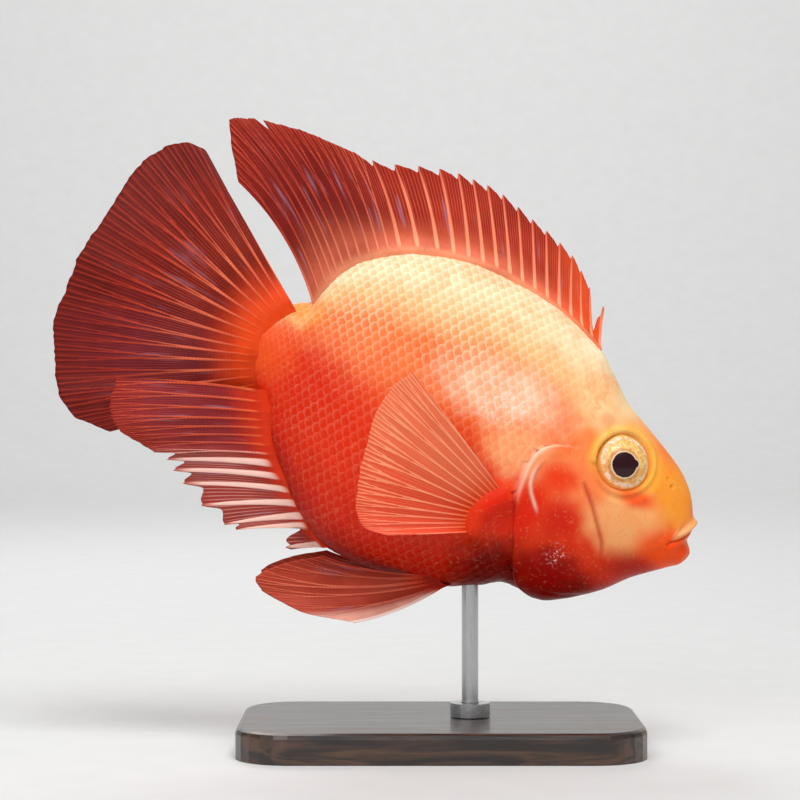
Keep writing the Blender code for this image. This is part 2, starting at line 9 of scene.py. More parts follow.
import bmesh
import bpy
import numpy as np
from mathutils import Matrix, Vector


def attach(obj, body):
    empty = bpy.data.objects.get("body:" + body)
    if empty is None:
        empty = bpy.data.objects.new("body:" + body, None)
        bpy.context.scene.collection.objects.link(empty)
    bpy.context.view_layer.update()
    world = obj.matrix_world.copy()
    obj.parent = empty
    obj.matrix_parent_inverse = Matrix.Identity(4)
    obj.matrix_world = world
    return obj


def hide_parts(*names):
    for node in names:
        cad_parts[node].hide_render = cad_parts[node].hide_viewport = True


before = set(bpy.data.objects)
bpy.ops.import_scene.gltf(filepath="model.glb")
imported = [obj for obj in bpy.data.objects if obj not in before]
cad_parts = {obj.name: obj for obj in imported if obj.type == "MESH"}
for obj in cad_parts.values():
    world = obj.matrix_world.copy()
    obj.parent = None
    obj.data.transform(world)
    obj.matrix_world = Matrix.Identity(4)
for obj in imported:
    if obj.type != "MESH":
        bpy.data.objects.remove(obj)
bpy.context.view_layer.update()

# Stand
# A hardwood base, stained nearly black and varnished, with a brushed steel rod let into it through a steel
# collar. The three keep the frame's shapes and get their grain, pores and brushing here.

WOOD_DARK = (0.012, 0.006, 0.004, 1)
WOOD_LIGHT = (0.085, 0.038, 0.018, 1)
WOOD_PORE = (0.004, 0.002, 0.002, 1)
STEEL_GREY = (0.62, 0.62, 0.63, 1)
STEEL_LINE = (0.45, 0.45, 0.46, 1)


def node(tree, kind, inputs=(), **settings):
    """A shader node with its settings. An input is set to a value, or linked where it is a socket."""
    made = tree.nodes.new("ShaderNode" + kind)
    for word, value in settings.items():
        setattr(made, word, value)
    for place, value in dict(inputs).items():
        if isinstance(value, bpy.types.NodeSocket):
            tree.links.new(value, made.inputs[place])
        else:
            made.inputs[place].default_value = value
    return made


def mixed(tree, factor, first, second, blend="MIX"):
    """Two colours, mixed by a factor."""
    made = node(tree, "Mix", {0: factor, 6: first, 7: second}, data_type="RGBA", blend_type=blend)
    return made.outputs[2]


def sum_of(tree, operation, *values):
    """The result of a Math node on one to three values."""
    return node(tree, "Math", dict(enumerate(values)), operation=operation).outputs[0]


def times(tree, first, second):
    return sum_of(tree, "MULTIPLY", first, second)


def noise(tree, place, scale, detail, distortion=0.0):
    """Soft noise at each place, gathered round a half."""
    inputs = {"Vector": place, "Scale": scale, "Detail": detail, "Distortion": distortion}
    return node(tree, "TexNoise", inputs).outputs[0]


def band(tree, value, low, high, to_low=0.0, to_high=1.0):
    """Carries a value from one range to another, softly and without going past it."""
    inputs = {"Value": value, "From Min": low, "From Max": high, "To Min": to_low, "To Max": to_high}
    return node(tree, "MapRange", inputs, interpolation_type="SMOOTHSTEP").outputs[0]


def new_finish(name, **even):
    """A material whose shader has these even values on its own sockets."""
    material = bpy.data.materials.new(name)
    material.use_nodes = True
    shader = material.node_tree.nodes["Principled BSDF"]
    for word, value in even.items():
        shader.inputs[word.replace("_", " ").title().replace("Ior", "IOR")].default_value = value
    return material, material.node_tree, shader


def dress(tree, shader, colour, roughness=None, bumps=None):
    """Links a colour, a roughness and bumps (their height, strength and depth in metres) to a shader."""
    tree.links.new(colour, shader.inputs["Base Color"])
    if roughness is not None:
        tree.links.new(roughness, shader.inputs["Roughness"])
    if bumps is not None:
        bump = node(tree, "Bump", dict(zip(("Height", "Strength", "Distance"), bumps)))
        tree.links.new(bump.outputs[0], shader.inputs["Normal"])


def stained_wood():
    material, tree, shader = new_finish("stained_wood", coat_weight=0.5, coat_roughness=0.12)
    place = node(tree, "TexCoord").outputs["Object"]
    along = node(tree, "Mapping", {"Vector": place, "Scale": (9, 90, 90)}).outputs[0]
    grain = noise(tree, along, 3.0, 8, 1.2)
    pores_at = node(tree, "Mapping", {"Vector": place, "Scale": (60, 900, 900)}).outputs[0]
    pores = noise(tree, pores_at, 2.0, 3)
    colour = mixed(tree, band(tree, grain, 0.38, 0.66), WOOD_DARK, WOOD_LIGHT)
    colour = mixed(tree, band(tree, pores, 0.62, 0.72, 0, 0.7), colour, WOOD_PORE)
    height = sum_of(tree, "SUBTRACT", grain, pores)
    dress(tree, shader, colour, band(tree, grain, 0.3, 0.7, 0.34, 0.5), (height, 0.12, 0.0006))
    return material


def brushed_steel(name, stretch):
    material, tree, shader = new_finish(name, metallic=1.0)
    place = node(tree, "TexCoord").outputs["Object"]
    along = node(tree, "Mapping", {"Vector": place, "Scale": stretch}).outputs[0]
    lines = noise(tree, along, 1.0, 4)
    colour = mixed(tree, lines, STEEL_LINE, STEEL_GREY)
    dress(tree, shader, colour, band(tree, lines, 0.3, 0.7, 0.2, 0.38), (lines, 0.08, 0.0002))
    return material


stand_finishes = {"stand_base": stained_wood(), "stand_rod": brushed_steel("rod_steel", (4000, 4000, 60)),
                  "stand_collar": brushed_steel("collar_steel", (300, 300, 6000))}
for word, finish in stand_finishes.items():
    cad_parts[word].data.materials.clear()
    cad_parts[word].data.materials.append(finish)


# Skin
# One wet, slightly translucent skin from the lips to the tail's root, with the gill flaps' free edges, the
# crease behind the cheek, the ring round the eye, the lips and the nostrils raised or sunk in its surface.

MM = 0.001
LEAN = math.radians(23)
FISH_HEIGHT = 95.0
BACK = [(-68, 6.2), (-60, 12.5), (-54, 18.4), (-49.6, 21), (-47.6, 28), (-44, 35.2), (-37, 41.3),
        (-26, 46.8), (-8, 50.3), (5, 49.7), (19, 47.5), (30.5, 43.3), (36, 40.6), (42, 35.4), (49, 29.4),
        (58, 24.6), (66, 20.3), (71, 17.2), (76.3, 12.2), (79.2, 7.4), (81.3, 2.4), (82.8, -2.6)]
BELLY = [(-68, 2.8), (-60, -4), (-54.7, -10.8), (-48.9, -19.1), (-39.5, -29.8), (-28.7, -39.4),
         (-19, -45.2), (-8, -46.4), (6, -44.9), (18.5, -42.6), (29, -38), (36, -34.4), (42, -34.4),
         (47, -34.2), (53, -31.8), (63, -25), (69.6, -18.3), (74.5, -14.4), (79.2, -10.8), (81.6, -9.0),
         (82.8, -7.2)]
HALF_WIDTH = [(-68, 0.12), (-60, 3.0), (-54, 5.2), (-46, 9), (-36, 13), (-20, 18.3), (0, 22), (18, 23),
              (34, 22), (46, 20.3), (56, 17.4), (66, 13.6), (74, 10), (79, 7.2), (81.6, 4.4), (82.8, 1.6)]
WAIST = [(-68, 4.5), (-60, 4), (-40, 3), (0, -4), (30, -6), (50, -4), (70, -2), (82.8, -4.4)]
BACK_SHARPNESS = 1.2
BELLY_SHARPNESS = 0.95
SNOUT_END = 82.8
TAIL_END = -68.0  # the flesh thins out over the roots of the tail rays

SKIN_SIDES = 360
BODY_RING = 0.95  # between the rings of the skin, on the body
HEAD_RING = 0.46  # and on the head
SNOUT_RING = 0.38  # and along the steep front of the snout
SNOUT_START = 68.0
SIDE_CLOSER = 0.17  # draws the skin's lengthwise lines together on the flanks
SEAM = 0.002  # the seam and poles of a round sheet lie closer than this

# The gill flap's free edge, as the turn round the body in degrees from the back and the place along it
FLAP_EDGE = [(0, 39), (60, 40), (67.6, 38.6), (71, 33.4), (74.5, 29.4), (79, 27.4), (84, 26.9), (92, 27.1),
             (105, 29.1), (120, 31.9), (142, 35), (160, 38.6), (172, 43), (180, 45)]
# The rings of the skin where it folds back under the flap: place without a flap, place with it, height
FLAP_FOLD = [(-2.6, -2.6, 0.0), (-1.9, -1.2, -0.25), (-1.2, 0.0, -0.4), (-0.7, 0.9, -0.15),
             (-0.3, 0.4, 0.4), (0.1, -0.05, 0.72), (0.4, 0.05, 1.0), (0.9, 0.6, 1.2)]
FLAP_HOME = 30.0
FLAP_PROUD = 1.15
FLAP_FADE = 13.0  # the flap's height dies away this far ahead of its edge
FLAP_TOP = (66, 76)  # degrees over which the flap's edge lifts off below the nape

EYE = (53.3, 12.6)
ORBIT = 9.4
MOUTH = [(88, 9.7), (80.1, 1.0), (76, -2.1), (70, -7.6)]
MOUTH_CORNER = 75.3
MOUTH_DROOP = 1.8
MOUTH_SIDE = 8.0
MAXILLA = [(78.6, 4.6), (77.6, 1.3), (76.2, -2.4), (75.2, -5.2)]
CREASE = [(44.2, 2.1), (49, -2.9), (52.3, -7), (56.1, -11.7), (58.4, -17.1), (60.6, -19.9)]
INNER_FOLD = [(31.6, 5.0), (30.2, 2.9), (29.4, 0.7), (29.2, -1.6), (29.7, -4.1), (30.9, -6.4), (32.7, -8.5),
              (34.7, -10.8), (36.1, -13.4), (37, -16), (39, -23)]
FIN_SHOULDER = [(24.6, -10.6), (21.8, -14), (19.6, -18.5), (20.4, -23)]
NOSTRILS = [(69.8, 11.4, 0.75), (67.6, 13.2, 0.45)]
CHIN_FOLDS = [[(74.5, -6), (71.5, -9.5), (68.5, -14.5)], [(60, -27.5), (52, -31), (43, -32)],
              [(60, -25), (51, -27.5), (42, -28.6)]]


def curve_through(points):
    """A smooth function through (place, size) points that doesn't overshoot between them."""
    places, sizes = np.array(points, float).T
    rises = np.diff(sizes) / np.diff(places)
    before, after = rises[:-1], rises[1:]
    same_way = before * after > 0
    middle = np.where(same_way, 2 * before * after / np.where(same_way, before + after, 1), 0)
    slopes = np.concatenate([rises[:1], middle, rises[-1:]])

    def size_at(place):
        place = np.asarray(place, float)
        i = np.clip(np.searchsorted(places, place, side="right") - 1, 0, len(rises) - 1)
        span = places[i + 1] - places[i]
        t = (place - places[i]) / span
        inside = (sizes[i] * (2 * t**3 - 3 * t**2 + 1) + slopes[i] * span * (t**3 - 2 * t**2 + t)
                  + sizes[i + 1] * (3 * t**2 - 2 * t**3) + slopes[i + 1] * span * (t**3 - t**2))
        before_all = sizes[0] + slopes[0] * (place - places[0])
        after_all = sizes[-1] + slopes[-1] * (place - places[-1])
        return np.where(t < 0, before_all, np.where(t > 1, after_all, inside))

    return size_at


def rise(value, low, high):
    """Goes softly from 0 at low to 1 at high."""
    t = np.clip((value - low) / (high - low), 0, 1)
    return t * t * (3 - 2 * t)


def bell(distance, width):
    return np.exp(-(distance / width) ** 2)


def from_line(x, z, line):
    """How far points lie from a line drawn from the side, positive above it, and how far along it, 0 to 1."""
    corners = np.array(line, float)
    steps = np.linalg.norm(np.diff(corners, axis=0), axis=1)
    starts = np.concatenate([[0], np.cumsum(steps)])
    nearest = np.full(np.shape(x), np.inf)
    signed = np.zeros(np.shape(x))
    along = np.zeros(np.shape(x))
    for (ax, az), (bx, bz), step, start in zip(corners, corners[1:], steps, starts):
        dx, dz = (bx - ax) / step, (bz - az) / step
        t = np.clip((x - ax) * dx + (z - az) * dz, 0, step)
        off_x, off_z = x - ax - dx * t, z - az - dz * t
        distance = np.hypot(off_x, off_z)
        closer = distance < nearest
        above = np.sign(off_z * abs(dx) - off_x * dz * np.sign(dx)) if dx else np.sign(off_x)
        nearest = np.where(closer, distance, nearest)
        signed = np.where(closer, np.where(above >= 0, distance, -distance), signed)
        along = np.where(closer, (start + t) / starts[-1], along)
    return signed, along


back_at, belly_at = curve_through(BACK), curve_through(BELLY)
half_width_at, waist_at = curve_through(HALF_WIDTH), curve_through(WAIST)
flap_edge_at = curve_through(FLAP_EDGE)


def body_point(x, turn):
    """The plain body: turn runs round it from the back, over the left side, to the belly and up again."""
    upright, across = np.cos(turn), np.sin(turn)
    waist = waist_at(x)
    reach = np.where(upright > 0, back_at(x) - waist, waist - belly_at(x))
    sharpness = np.where(upright > 0, BACK_SHARPNESS, BELLY_SHARPNESS)
    side = np.copysign(half_width_at(x) * np.abs(across) ** sharpness, across)
    return np.stack([x + 0 * turn, side, waist + reach * upright], axis=-1)


def body_outwards(x, turn):
    """The direction out of the plain body."""
    ahead = body_point(x + 0.3, turn) - body_point(x - 0.3, turn)
    around = body_point(x, turn + 0.03) - body_point(x, turn - 0.03)
    out = np.cross(ahead, around)
    return out / np.linalg.norm(out, axis=-1, keepdims=True)


def skin_reach(x, z):
    """How far out to the side the body lies at this place."""
    waist = waist_at(x)
    above = z > waist
    reach = np.where(above, back_at(x) - waist, waist - belly_at(x))
    upright = np.clip(np.abs(z - waist) / reach, 0, 1)
    return half_width_at(x) * np.sqrt(1 - upright**2) ** np.where(above, BACK_SHARPNESS, BELLY_SHARPNESS)


def degrees_down(turn):
    """The turn from the back towards the belly in degrees, alike on both sides."""
    return 180 - np.abs(np.degrees(turn) % 360 - 180)


def flap_lift(turn):
    return rise(degrees_down(turn), *FLAP_TOP)


def relief(x, turn):
    """How far the skin stands out from the plain body at each place, ahead of and behind the flap's edge."""
    spot = body_point(x, turn)
    px, py, pz = spot[..., 0], spot[..., 1], spot[..., 2]
    high = 0.08 * np.sin(px * 0.55 + pz * 0.31) * np.sin(pz * 0.43 - px * 0.12) * (1 - rise(px, 40, 56))

    ahead = px - flap_edge_at(degrees_down(turn))
    flap = FLAP_PROUD * flap_lift(turn) * np.exp(-np.maximum(ahead - 0.8, 0) / FLAP_FADE) * (ahead > 0)
    high = high + flap

    from_eye = np.hypot(px - EYE[0], pz - EYE[1])
    high = high + 0.5 * bell(from_eye - ORBIT, 0.8) - 2.6 * (1 - rise(from_eye, 7.5, 8.9))
    high = high - 0.18 * bell(from_eye - 10.9, 0.9) + 0.15 * bell(from_eye - 12.4, 0.9) * (pz < EYE[1])

    away, along = from_line(px, pz, CREASE)
    strength = rise(along, 0.0, 0.12) * (1 - rise(along, 0.75, 1))
    high = high - 0.42 * strength * bell(away, 0.55) + 0.3 * strength * bell(away - 1.5, 1.3)

    away, along = from_line(px, pz, INNER_FOLD)
    strength = rise(along, 0, 0.15) * (1 - rise(along, 0.45, 1))
    high = high + 0.55 * strength * bell(away, 0.55) - 0.25 * strength * bell(np.abs(away) - 1.1, 0.5)

    away, along = from_line(px, pz, FIN_SHOULDER)
    high = high + 2.0 * bell(away, 3.6)

    drooped = pz + MOUTH_DROOP * np.clip(np.abs(py) / MOUTH_SIDE, 0, 1) ** 2
    away, along = from_line(px, drooped, MOUTH)
    front = rise(px, MOUTH_CORNER - 0.8, MOUTH_CORNER + 1.2)
    tip = rise(px, 77.5, 80.8)
    upper_lip = (0.6 + 0.75 * tip) * bell(away - 1.75, 1.05)
    lower_lip = (0.3 - 0.25 * tip) * bell(away + 1.5, 1.0)
    high = high + front * (upper_lip + lower_lip)
    high = high - front * 0.6 * bell(away, 0.4) - 1.35 * tip * bell(away + 2.9, 1.9)
    away, along = from_line(px, pz, MAXILLA)
    high = high - 0.4 * rise(along, 0.1, 0.5) * bell(away, 0.5)
    high = high + 0.22 * bell(away - 1.2, 0.9) * rise(along, 0, 0.5)

    for nx, nz, radius in NOSTRILS:
        away = np.hypot(px - nx, pz - nz)
        high = high - 0.8 * bell(away, radius * 0.75) + 0.14 * bell(away - radius * 1.35, 0.35)
    for fold in CHIN_FOLDS:
        away, along = from_line(px, pz, fold)
        high = high - 0.22 * bell(away, 0.55) * rise(along, 0, 0.25) * (1 - rise(along, 0.75, 1))
    return high


def skin_point(x, turn, lift=0.0):
    """A point of the finished skin, or this far above it."""
    out = body_outwards(x, turn)
    return body_point(x, turn) + out * (relief(x, turn) + lift)[..., None]


def in_pose(points):
    """From the fish's own frame, level and in millimetres, to its place over the stand in metres."""
    x, y, z = points[..., 0], points[..., 1], points[..., 2]
    cos, sin = math.cos(LEAN), math.sin(LEAN)
    return np.stack([cos * x + sin * z, y, FISH_HEIGHT - sin * x + cos * z], axis=-1) * MM


def paint_of(red, green, blue):
    """A paint, given as it looks on a screen, as the light it sends back."""
    share = np.array([red, green, blue]) / 255
    return np.where(share <= 0.04045, share / 12.92, ((share + 0.055) / 1.055) ** 2.4)


# Painted light and shade: the fish's own red below and cream above, made paler on the back as if lit from
# above and darker red under the belly as if shaded.
BELLY_TO_BACK = [(0.0, (170, 20, 0)), (0.1, (216, 40, 4)), (0.25, (230, 58, 18)), (0.42, (232, 62, 22)),
                 (0.5, (238, 92, 42)), (0.57, (247, 128, 70)), (0.72, (250, 142, 80)),
                 (0.82, (252, 204, 146)), (0.92, (253, 234, 192)), (1.0, (254, 240, 206))]
# Patches laid over that, in order: colour, middle (x, z), reach (x, z), strength, and where it starts to fade
PATCHES = [
    ((222, 48, 14), (-50, -4), (30, 20), 0.85, 0.3),  # red rear flank and tail stalk
    ((248, 152, 50), (-52.5, 18), (10, 7), 0.9, 0.25),  # yellow top of the stalk
    ((242, 88, 30), (-57, 2), (12, 14), 0.85, 0.2),  # orange end of the stalk
    ((252, 222, 194), (12, 17), (26, 12), 0.85, 0.25),  # pale shoulder, paler still as painted light from above
    ((254, 176, 124), (22, 4), (14, 11), 0.9, 0.35),  # peach skin above the breast fin
    ((118, 4, 0), (30, -33), (16, 15), 0.95, 0.25),  # dark red breast, darker still as painted shade under the body
    ((224, 38, 6), (24, -15), (8, 9), 0.9, 0.3),  # fleshy red root of the breast fin
    ((254, 208, 150), (46, 28), (18, 13), 0.85, 0.3),  # nape and forehead
    ((252, 160, 50), (70, 9), (15, 14), 0.9, 0.3),  # golden snout
    ((255, 180, 114), (59.5, -3.5), (15, 12.5), 0.9, 0.48),  # cheek
    ((255, 84, 10), (76, -8), (13, 8), 0.9, 0.4),  # jaw
    ((176, 16, 0), (69, -16), (12, 7), 0.8, 0.2),  # chin
    ((116, 2, 0), (52, -32), (17, 13), 0.95, 0.3),  # throat, dark red and darker still as painted shade under the head
    ((252, 136, 80), (42.5, 2), (12, 11), 0.8, 0.3),  # rim of the gill cover
    ((238, 56, 18), (37, 0.5), (7.5, 6), 0.9, 0.2),  # its upper blotch
    ((212, 32, 14), (42, -10), (8, 8), 0.9, 0.15),  # its middle blotch
    ((158, 6, 0), (45, -25), (11, 10), 0.95, 0.25),  # its dark lower part
    ((228, 34, 4), (32, -12), (5, 10), 0.9, 0.3),  # its red hind edge
    ((248, 76, 18), (60, 4.2), (8.5, 4), 0.9, 0.25),  # crescent below the eye
    ((248, 158, 84), (55, 23), (9, 6), 0.7, 0.2),  # brow
    ((240, 128, 66), (44, 22), (4, 3), 0.5, 0.1),  # faint blotch on the nape
]
ORBIT_YELLOW = (255, 190, 70)
LIP_CREAM = (255, 190, 130)
LIP_RED = (176, 44, 18)
# Cream of the flap's free rim, and a painted highlight along the inner fold.
RIM_CREAM_FOLD_HIGHLIGHT = (255, 222, 196)
CREASE_RED = (190, 40, 20)


def markings(x, turn):
    """The paint of the skin and of the scales on it."""
    spot = body_point(x, turn)
    px, py, pz = spot[..., 0], spot[..., 1], spot[..., 2]
    up = (pz - belly_at(px)) / (back_at(px) - belly_at(px))
    up = up + (np.clip(up, 0, 0.56) - up) * rise(px, 50, 66)
    # The ramp from belly to back is partly painted light: paler towards the back as if lit from above, darker
    # red towards the belly as if in shade.
    stops = np.array([s for s, _ in BELLY_TO_BACK])
    steps = np.array([paint_of(*c) for _, c in BELLY_TO_BACK])
    paint = np.stack([np.interp(up, stops, steps[:, i]) for i in range(3)], axis=-1)

    def lay(paint, colour, mask):
        return paint + (paint_of(*colour) - paint) * mask[..., None]

    wander = 0.1 * np.sin(px * 0.7 + 1.3 * np.sin(pz * 0.5)) * np.sin(pz * 0.6 + 0.8)
    wander = wander * (1 - 0.7 * rise(px, 46, 62))
    for colour, (cx, cz), (rx, rz), strength, solid in PATCHES:
        away = np.hypot((px - cx) / rx, (pz - cz) / rz) + wander
        paint = lay(paint, colour, strength * (1 - rise(away, solid, 1.1)))
    from_eye = np.hypot(px - EYE[0], pz - EYE[1])
    ring = bell(from_eye - ORBIT - 0.2, 1.9) * (0.15 + 0.85 * rise(pz, 3, 12))
    paint = lay(paint, ORBIT_YELLOW, 0.7 * ring)
    drooped = pz + MOUTH_DROOP * np.clip(np.abs(py) / MOUTH_SIDE, 0, 1) ** 2
    away, _ = from_line(px, drooped, MOUTH)
    front = rise(px, MOUTH_CORNER - 0.5, MOUTH_CORNER + 1)
    paint = lay(paint, LIP_CREAM, 0.85 * front * bell(away - 1.9, 1.3))
    paint = lay(paint, LIP_RED, 0.45 * front * bell(away, 0.35))
    away, along = from_line(px, pz, CREASE)
    paint = lay(paint, CREASE_RED, 0.7 * bell(away, 0.6) * (1 - rise(along, 0.6, 1)))
    # Painted highlight: a cream line along the inner fold's ridge, where light catches it.
    away, along = from_line(px, pz, INNER_FOLD)
    pale = bell(away, 0.5) * rise(along, 0.08, 0.2) * (1 - rise(along, 0.5, 0.62))
    paint = lay(paint, RIM_CREAM_FOLD_HIGHLIGHT, 0.7 * pale)
    edge = px - flap_edge_at(degrees_down(turn))
    pale = 0.75 * bell(edge - 0.2, 0.7) * flap_lift(turn) * (1 - rise(degrees_down(turn), 84, 100))
    return lay(paint, RIM_CREAM_FOLD_HIGHLIGHT, pale)


def spots(x, turn):
    """Where the cheek's fine speckles show, and where wet white flecks are painted as highlights."""
    spot = body_point(x, turn)
    px, pz = spot[..., 0], spot[..., 2]
    cheek = 1 - rise(np.hypot((px - 59) / 11, (pz + 3) / 10), 0.4, 1)
    iris_side = bell(np.hypot(px - EYE[0], pz - EYE[1]) - ORBIT, 2.0) * 0.5
    gill = 1 - rise(np.hypot((px - 45) / 4.4, (pz + 20) / 5.5), 0.0, 0.9)
    shoulder = 1 - rise(np.hypot((px - 12) / 17, (pz - 14) / 9), 0.1, 1)
    return np.maximum(cheek, iris_side), np.maximum(gill, shoulder)


def sheet_mesh(name, columns, rows, two_faced=False):
    """A flat sheet from which a piece is shaped, and the column, row and face of each of its points."""
    bm = bmesh.new()
    bmesh.ops.create_grid(bm, x_segments=columns - 1, y_segments=rows - 1, size=1)
    if two_faced:
        bmesh.ops.triangulate(bm, faces=bm.faces, quad_method="FIXED")
        made = bmesh.ops.extrude_face_region(bm, geom=bm.faces[:], use_keep_orig=True)
        other = [v for v in made["geom"] if isinstance(v, bmesh.types.BMVert)]
        bmesh.ops.translate(bm, verts=other, vec=(0, 0, 1))
    mesh = bpy.data.meshes.new(name)
    bm.to_mesh(mesh)
    bm.free()
    flat = np.empty(len(mesh.vertices) * 3)
    mesh.vertices.foreach_get("co", flat)
    flat = flat.reshape(-1, 3)
    column = np.round((flat[:, 0] + 1) / 2 * (columns - 1))
    row = np.round((flat[:, 1] + 1) / 2 * (rows - 1))
    return mesh, column, row, np.round(flat[:, 2]) * 2 - 1


def mark(mesh, **marks):
    """Gives each point of a mesh values and colours. A place is kept as if it were a colour."""
    for name, values in marks.items():
        values = np.asarray(values, float)
        if values.ndim == 1:
            mesh.attributes.new(name, "FLOAT", "POINT").data.foreach_set("value", values)
        else:
            whole = np.concatenate([values, np.ones((len(values), 1))], axis=1)
            mesh.attributes.new(name, "FLOAT_COLOR", "POINT").data.foreach_set("color", whole.ravel())


def close_up(mesh, merge=0.0, fill=False):
    """Merges the points of a mesh closer than this, fills its open ends and turns its faces outwards."""
    bm = bmesh.new()
    bm.from_mesh(mesh)
    if merge:
        bmesh.ops.remove_doubles(bm, verts=bm.verts, dist=merge * MM)
    if fill:
        bmesh.ops.holes_fill(bm, edges=bm.edges, sides=0)
    bm.normal_update()
    bmesh.ops.recalc_face_normals(bm, faces=bm.faces)
    bm.to_mesh(mesh)
    bm.free()
    mesh.shade_smooth()


def add_piece(mesh, material, *nodes, slot):
    """Puts a piece in the scene, in place of the frame's nodes where it is given any."""
    mesh.materials.append(material)
    piece = bpy.data.objects.new(mesh.name, mesh)
    bpy.context.scene.collection.objects.link(piece)
    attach(piece, "root")
    if nodes:
        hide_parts(*nodes)
    return piece


def skin_rings():
    """Each ring of the skin: its place without and with the flap, its height and its share of the girth."""
    plain = list(np.arange(TAIL_END, FLAP_HOME - 14, BODY_RING))
    plain += list(np.linspace(plain[-1] + BODY_RING, FLAP_HOME + FLAP_FOLD[0][0] - 0.5, 24))
    rings = [(x, x, 0.0, 1.0) for x in plain]
    rings += [(FLAP_HOME + p, FLAP_HOME + q, high, 1.0) for p, q, high in FLAP_FOLD]
    head = np.arange(FLAP_HOME + 1.35, SNOUT_START, HEAD_RING)
    fine = np.linspace(head[-1] + HEAD_RING, SNOUT_END, 400)
    path = np.concatenate([[0], np.cumsum(np.hypot(np.diff(fine), np.diff(back_at(fine))))])
    snout = np.interp(np.arange(0, path[-1], SNOUT_RING), path, fine)
    rings += [(x, x, None, 1.0) for x in (*head, *snout, SNOUT_END)]
    return rings + [(SNOUT_END, SNOUT_END, None, share) for share in (0.8, 0.6, 0.4, 0.2, 0.0)]


def build_skin_mesh():
    rings = skin_rings()
    mesh, column, row, _ = sheet_mesh("skin", len(rings), SKIN_SIDES + 1)
    ring = column.astype(int)
    even = row / SKIN_SIDES * 2 * math.pi
    turn = even + SIDE_CLOSER * np.sin(2 * even)
    plain, folded = (np.array([r[i] for r in rings])[ring] for i in (0, 1))
    own_height = np.array([0.0 if r[2] is None else r[2] for r in rings])[ring]
    front_share = np.array([r[3] for r in rings])[ring]
    on_fold = np.array([FLAP_HOME - 3 < r[0] < FLAP_HOME + 1 and r[2] is not None for r in rings])[ring]

    lift = flap_lift(turn)
    home = plain + (folded - plain) * lift
    ahead_of = rise(home, -14, FLAP_HOME - 2.5) * (1 - rise(home, FLAP_HOME + 1, 76))
    x = np.minimum(home + (flap_edge_at(degrees_down(turn)) - FLAP_HOME) * ahead_of, SNOUT_END)
    out = body_outwards(x, turn)
    flap_free = relief(np.where(on_fold, flap_edge_at(degrees_down(turn)) - 0.01, x), turn)
    high = np.where(on_fold, flap_free + own_height * lift, relief(x, turn))
    points = body_point(x, turn) + out * high[:, None]

    tip = np.array([SNOUT_END, 0, -4.9])
    dome = np.stack([0.55 * (1 - front_share**2), 0 * x, 0 * x], axis=1)
    points = np.where(front_share[:, None] < 1, tip + (points - tip) * front_share[:, None] + dome, points)

    mesh.vertices.foreach_set("co", in_pose(points).ravel())
    speckles, flecks = spots(x, turn)
    mark(mesh, markings=markings(x, turn), speckles=speckles, flecks=flecks)
    close_up(mesh, merge=SEAM, fill=True)
    return mesh


def skin_group():
    """Mottling, cheek speckles and painted glints over the markings, shared by the skin and the scales."""
    group = bpy.data.node_groups.new("living_skin", "ShaderNodeTree")
    given_kinds = {"Markings": "Color", "Speckles": "Float", "Painted glints": "Float", "Mottling": "Float"}
    for word, kind in given_kinds.items():
        group.interface.new_socket(name=word, in_out="INPUT", socket_type="NodeSocket" + kind)
    for word, kind in (("Colour", "Color"), ("Wetness", "Float"), ("Height", "Float")):
        group.interface.new_socket(name=word, in_out="OUTPUT", socket_type="NodeSocket" + kind)
    given = group.nodes.new("NodeGroupInput")
    result = group.nodes.new("NodeGroupOutput")
    place = node(group, "TexCoord").outputs["Object"]
    broad = noise(group, place, 130, 4, 0.6)
    fine = noise(group, place, 900, 3)
    pores = node(group, "TexVoronoi", {"Vector": place, "Scale": 1300}).outputs["Distance"]
    shade = times(group, band(group, broad, 0.42, 0.66), given.outputs["Mottling"])
    deeper = mixed(group, 1.0, given.outputs["Markings"], (1.0, 0.62, 0.42, 1), "MULTIPLY")
    colour = mixed(group, shade, given.outputs["Markings"], deeper)
    lighter = mixed(group, 0.3, colour, (1.0, 0.6, 0.3, 1))
    glow = times(group, band(group, fine, 0.56, 0.75), given.outputs["Mottling"])
    colour = mixed(group, glow, colour, lighter)
    dots = times(group, band(group, pores, 0.3, 0.12), band(group, fine, 0.48, 0.6))
    dots = times(group, dots, given.outputs["Speckles"])
    colour = mixed(group, times(group, dots, 0.6), colour, (0.28, 0.1, 0.04, 1))
    # Painted highlights: white flecks on the gill cover and shoulder stand in for glints of light on the wet
    # skin.
    streaks = noise(group, place, 420, 5, 2.2)
    white = times(group, band(group, streaks, 0.53, 0.63), given.outputs["Painted glints"])
    colour = mixed(group, times(group, white, 0.8), colour, (1.0, 0.82, 0.74, 1))
    group.links.new(colour, result.inputs["Colour"])
    group.links.new(band(group, fine, 0.3, 0.75, 0.3, 0.5), result.inputs["Wetness"])
    height = sum_of(group, "ADD", times(group, fine, 0.6), times(group, pores, 0.35))
    group.links.new(height, result.inputs["Height"])
    return group


def attribute(tree, name, output="Fac"):
    return node(tree, "Attribute", attribute_name=name).outputs[output]


living_skin = skin_group()


def skin_paint(tree, mottling):
    """What the shared group makes of a piece's own marks."""
    marks = {"Markings": attribute(tree, "markings", "Color"), "Speckles": attribute(tree, "speckles"),
             "Painted glints": attribute(tree, "flecks"), "Mottling": mottling}
    return node(tree, "Group", marks, node_tree=living_skin).outputs


def bare_skin():
    material, tree, shader = new_finish("bare_skin", coat_weight=0.05, coat_roughness=0.1, ior=1.3,
                                        specular_ior_level=0.2, subsurface_weight=0.1, subsurface_scale=0.002)
    shared = skin_paint(tree, 0.35)
    dress(tree, shader, shared["Colour"], shared["Wetness"], (shared["Height"], 0.25, 0.0004))
    return material


add_piece(build_skin_mesh(), bare_skin(), "head", "lower_jaw", "gill_cover_left", "gill_cover_right", "trunk",
          "tail_stalk", slot="skin")


# Scales
# Thin overlapping plates in staggered rows from the nape to the tail's root, each let into the skin at its
# front and free at its hind edge, smaller on the tail stalk and fading out on the nape.

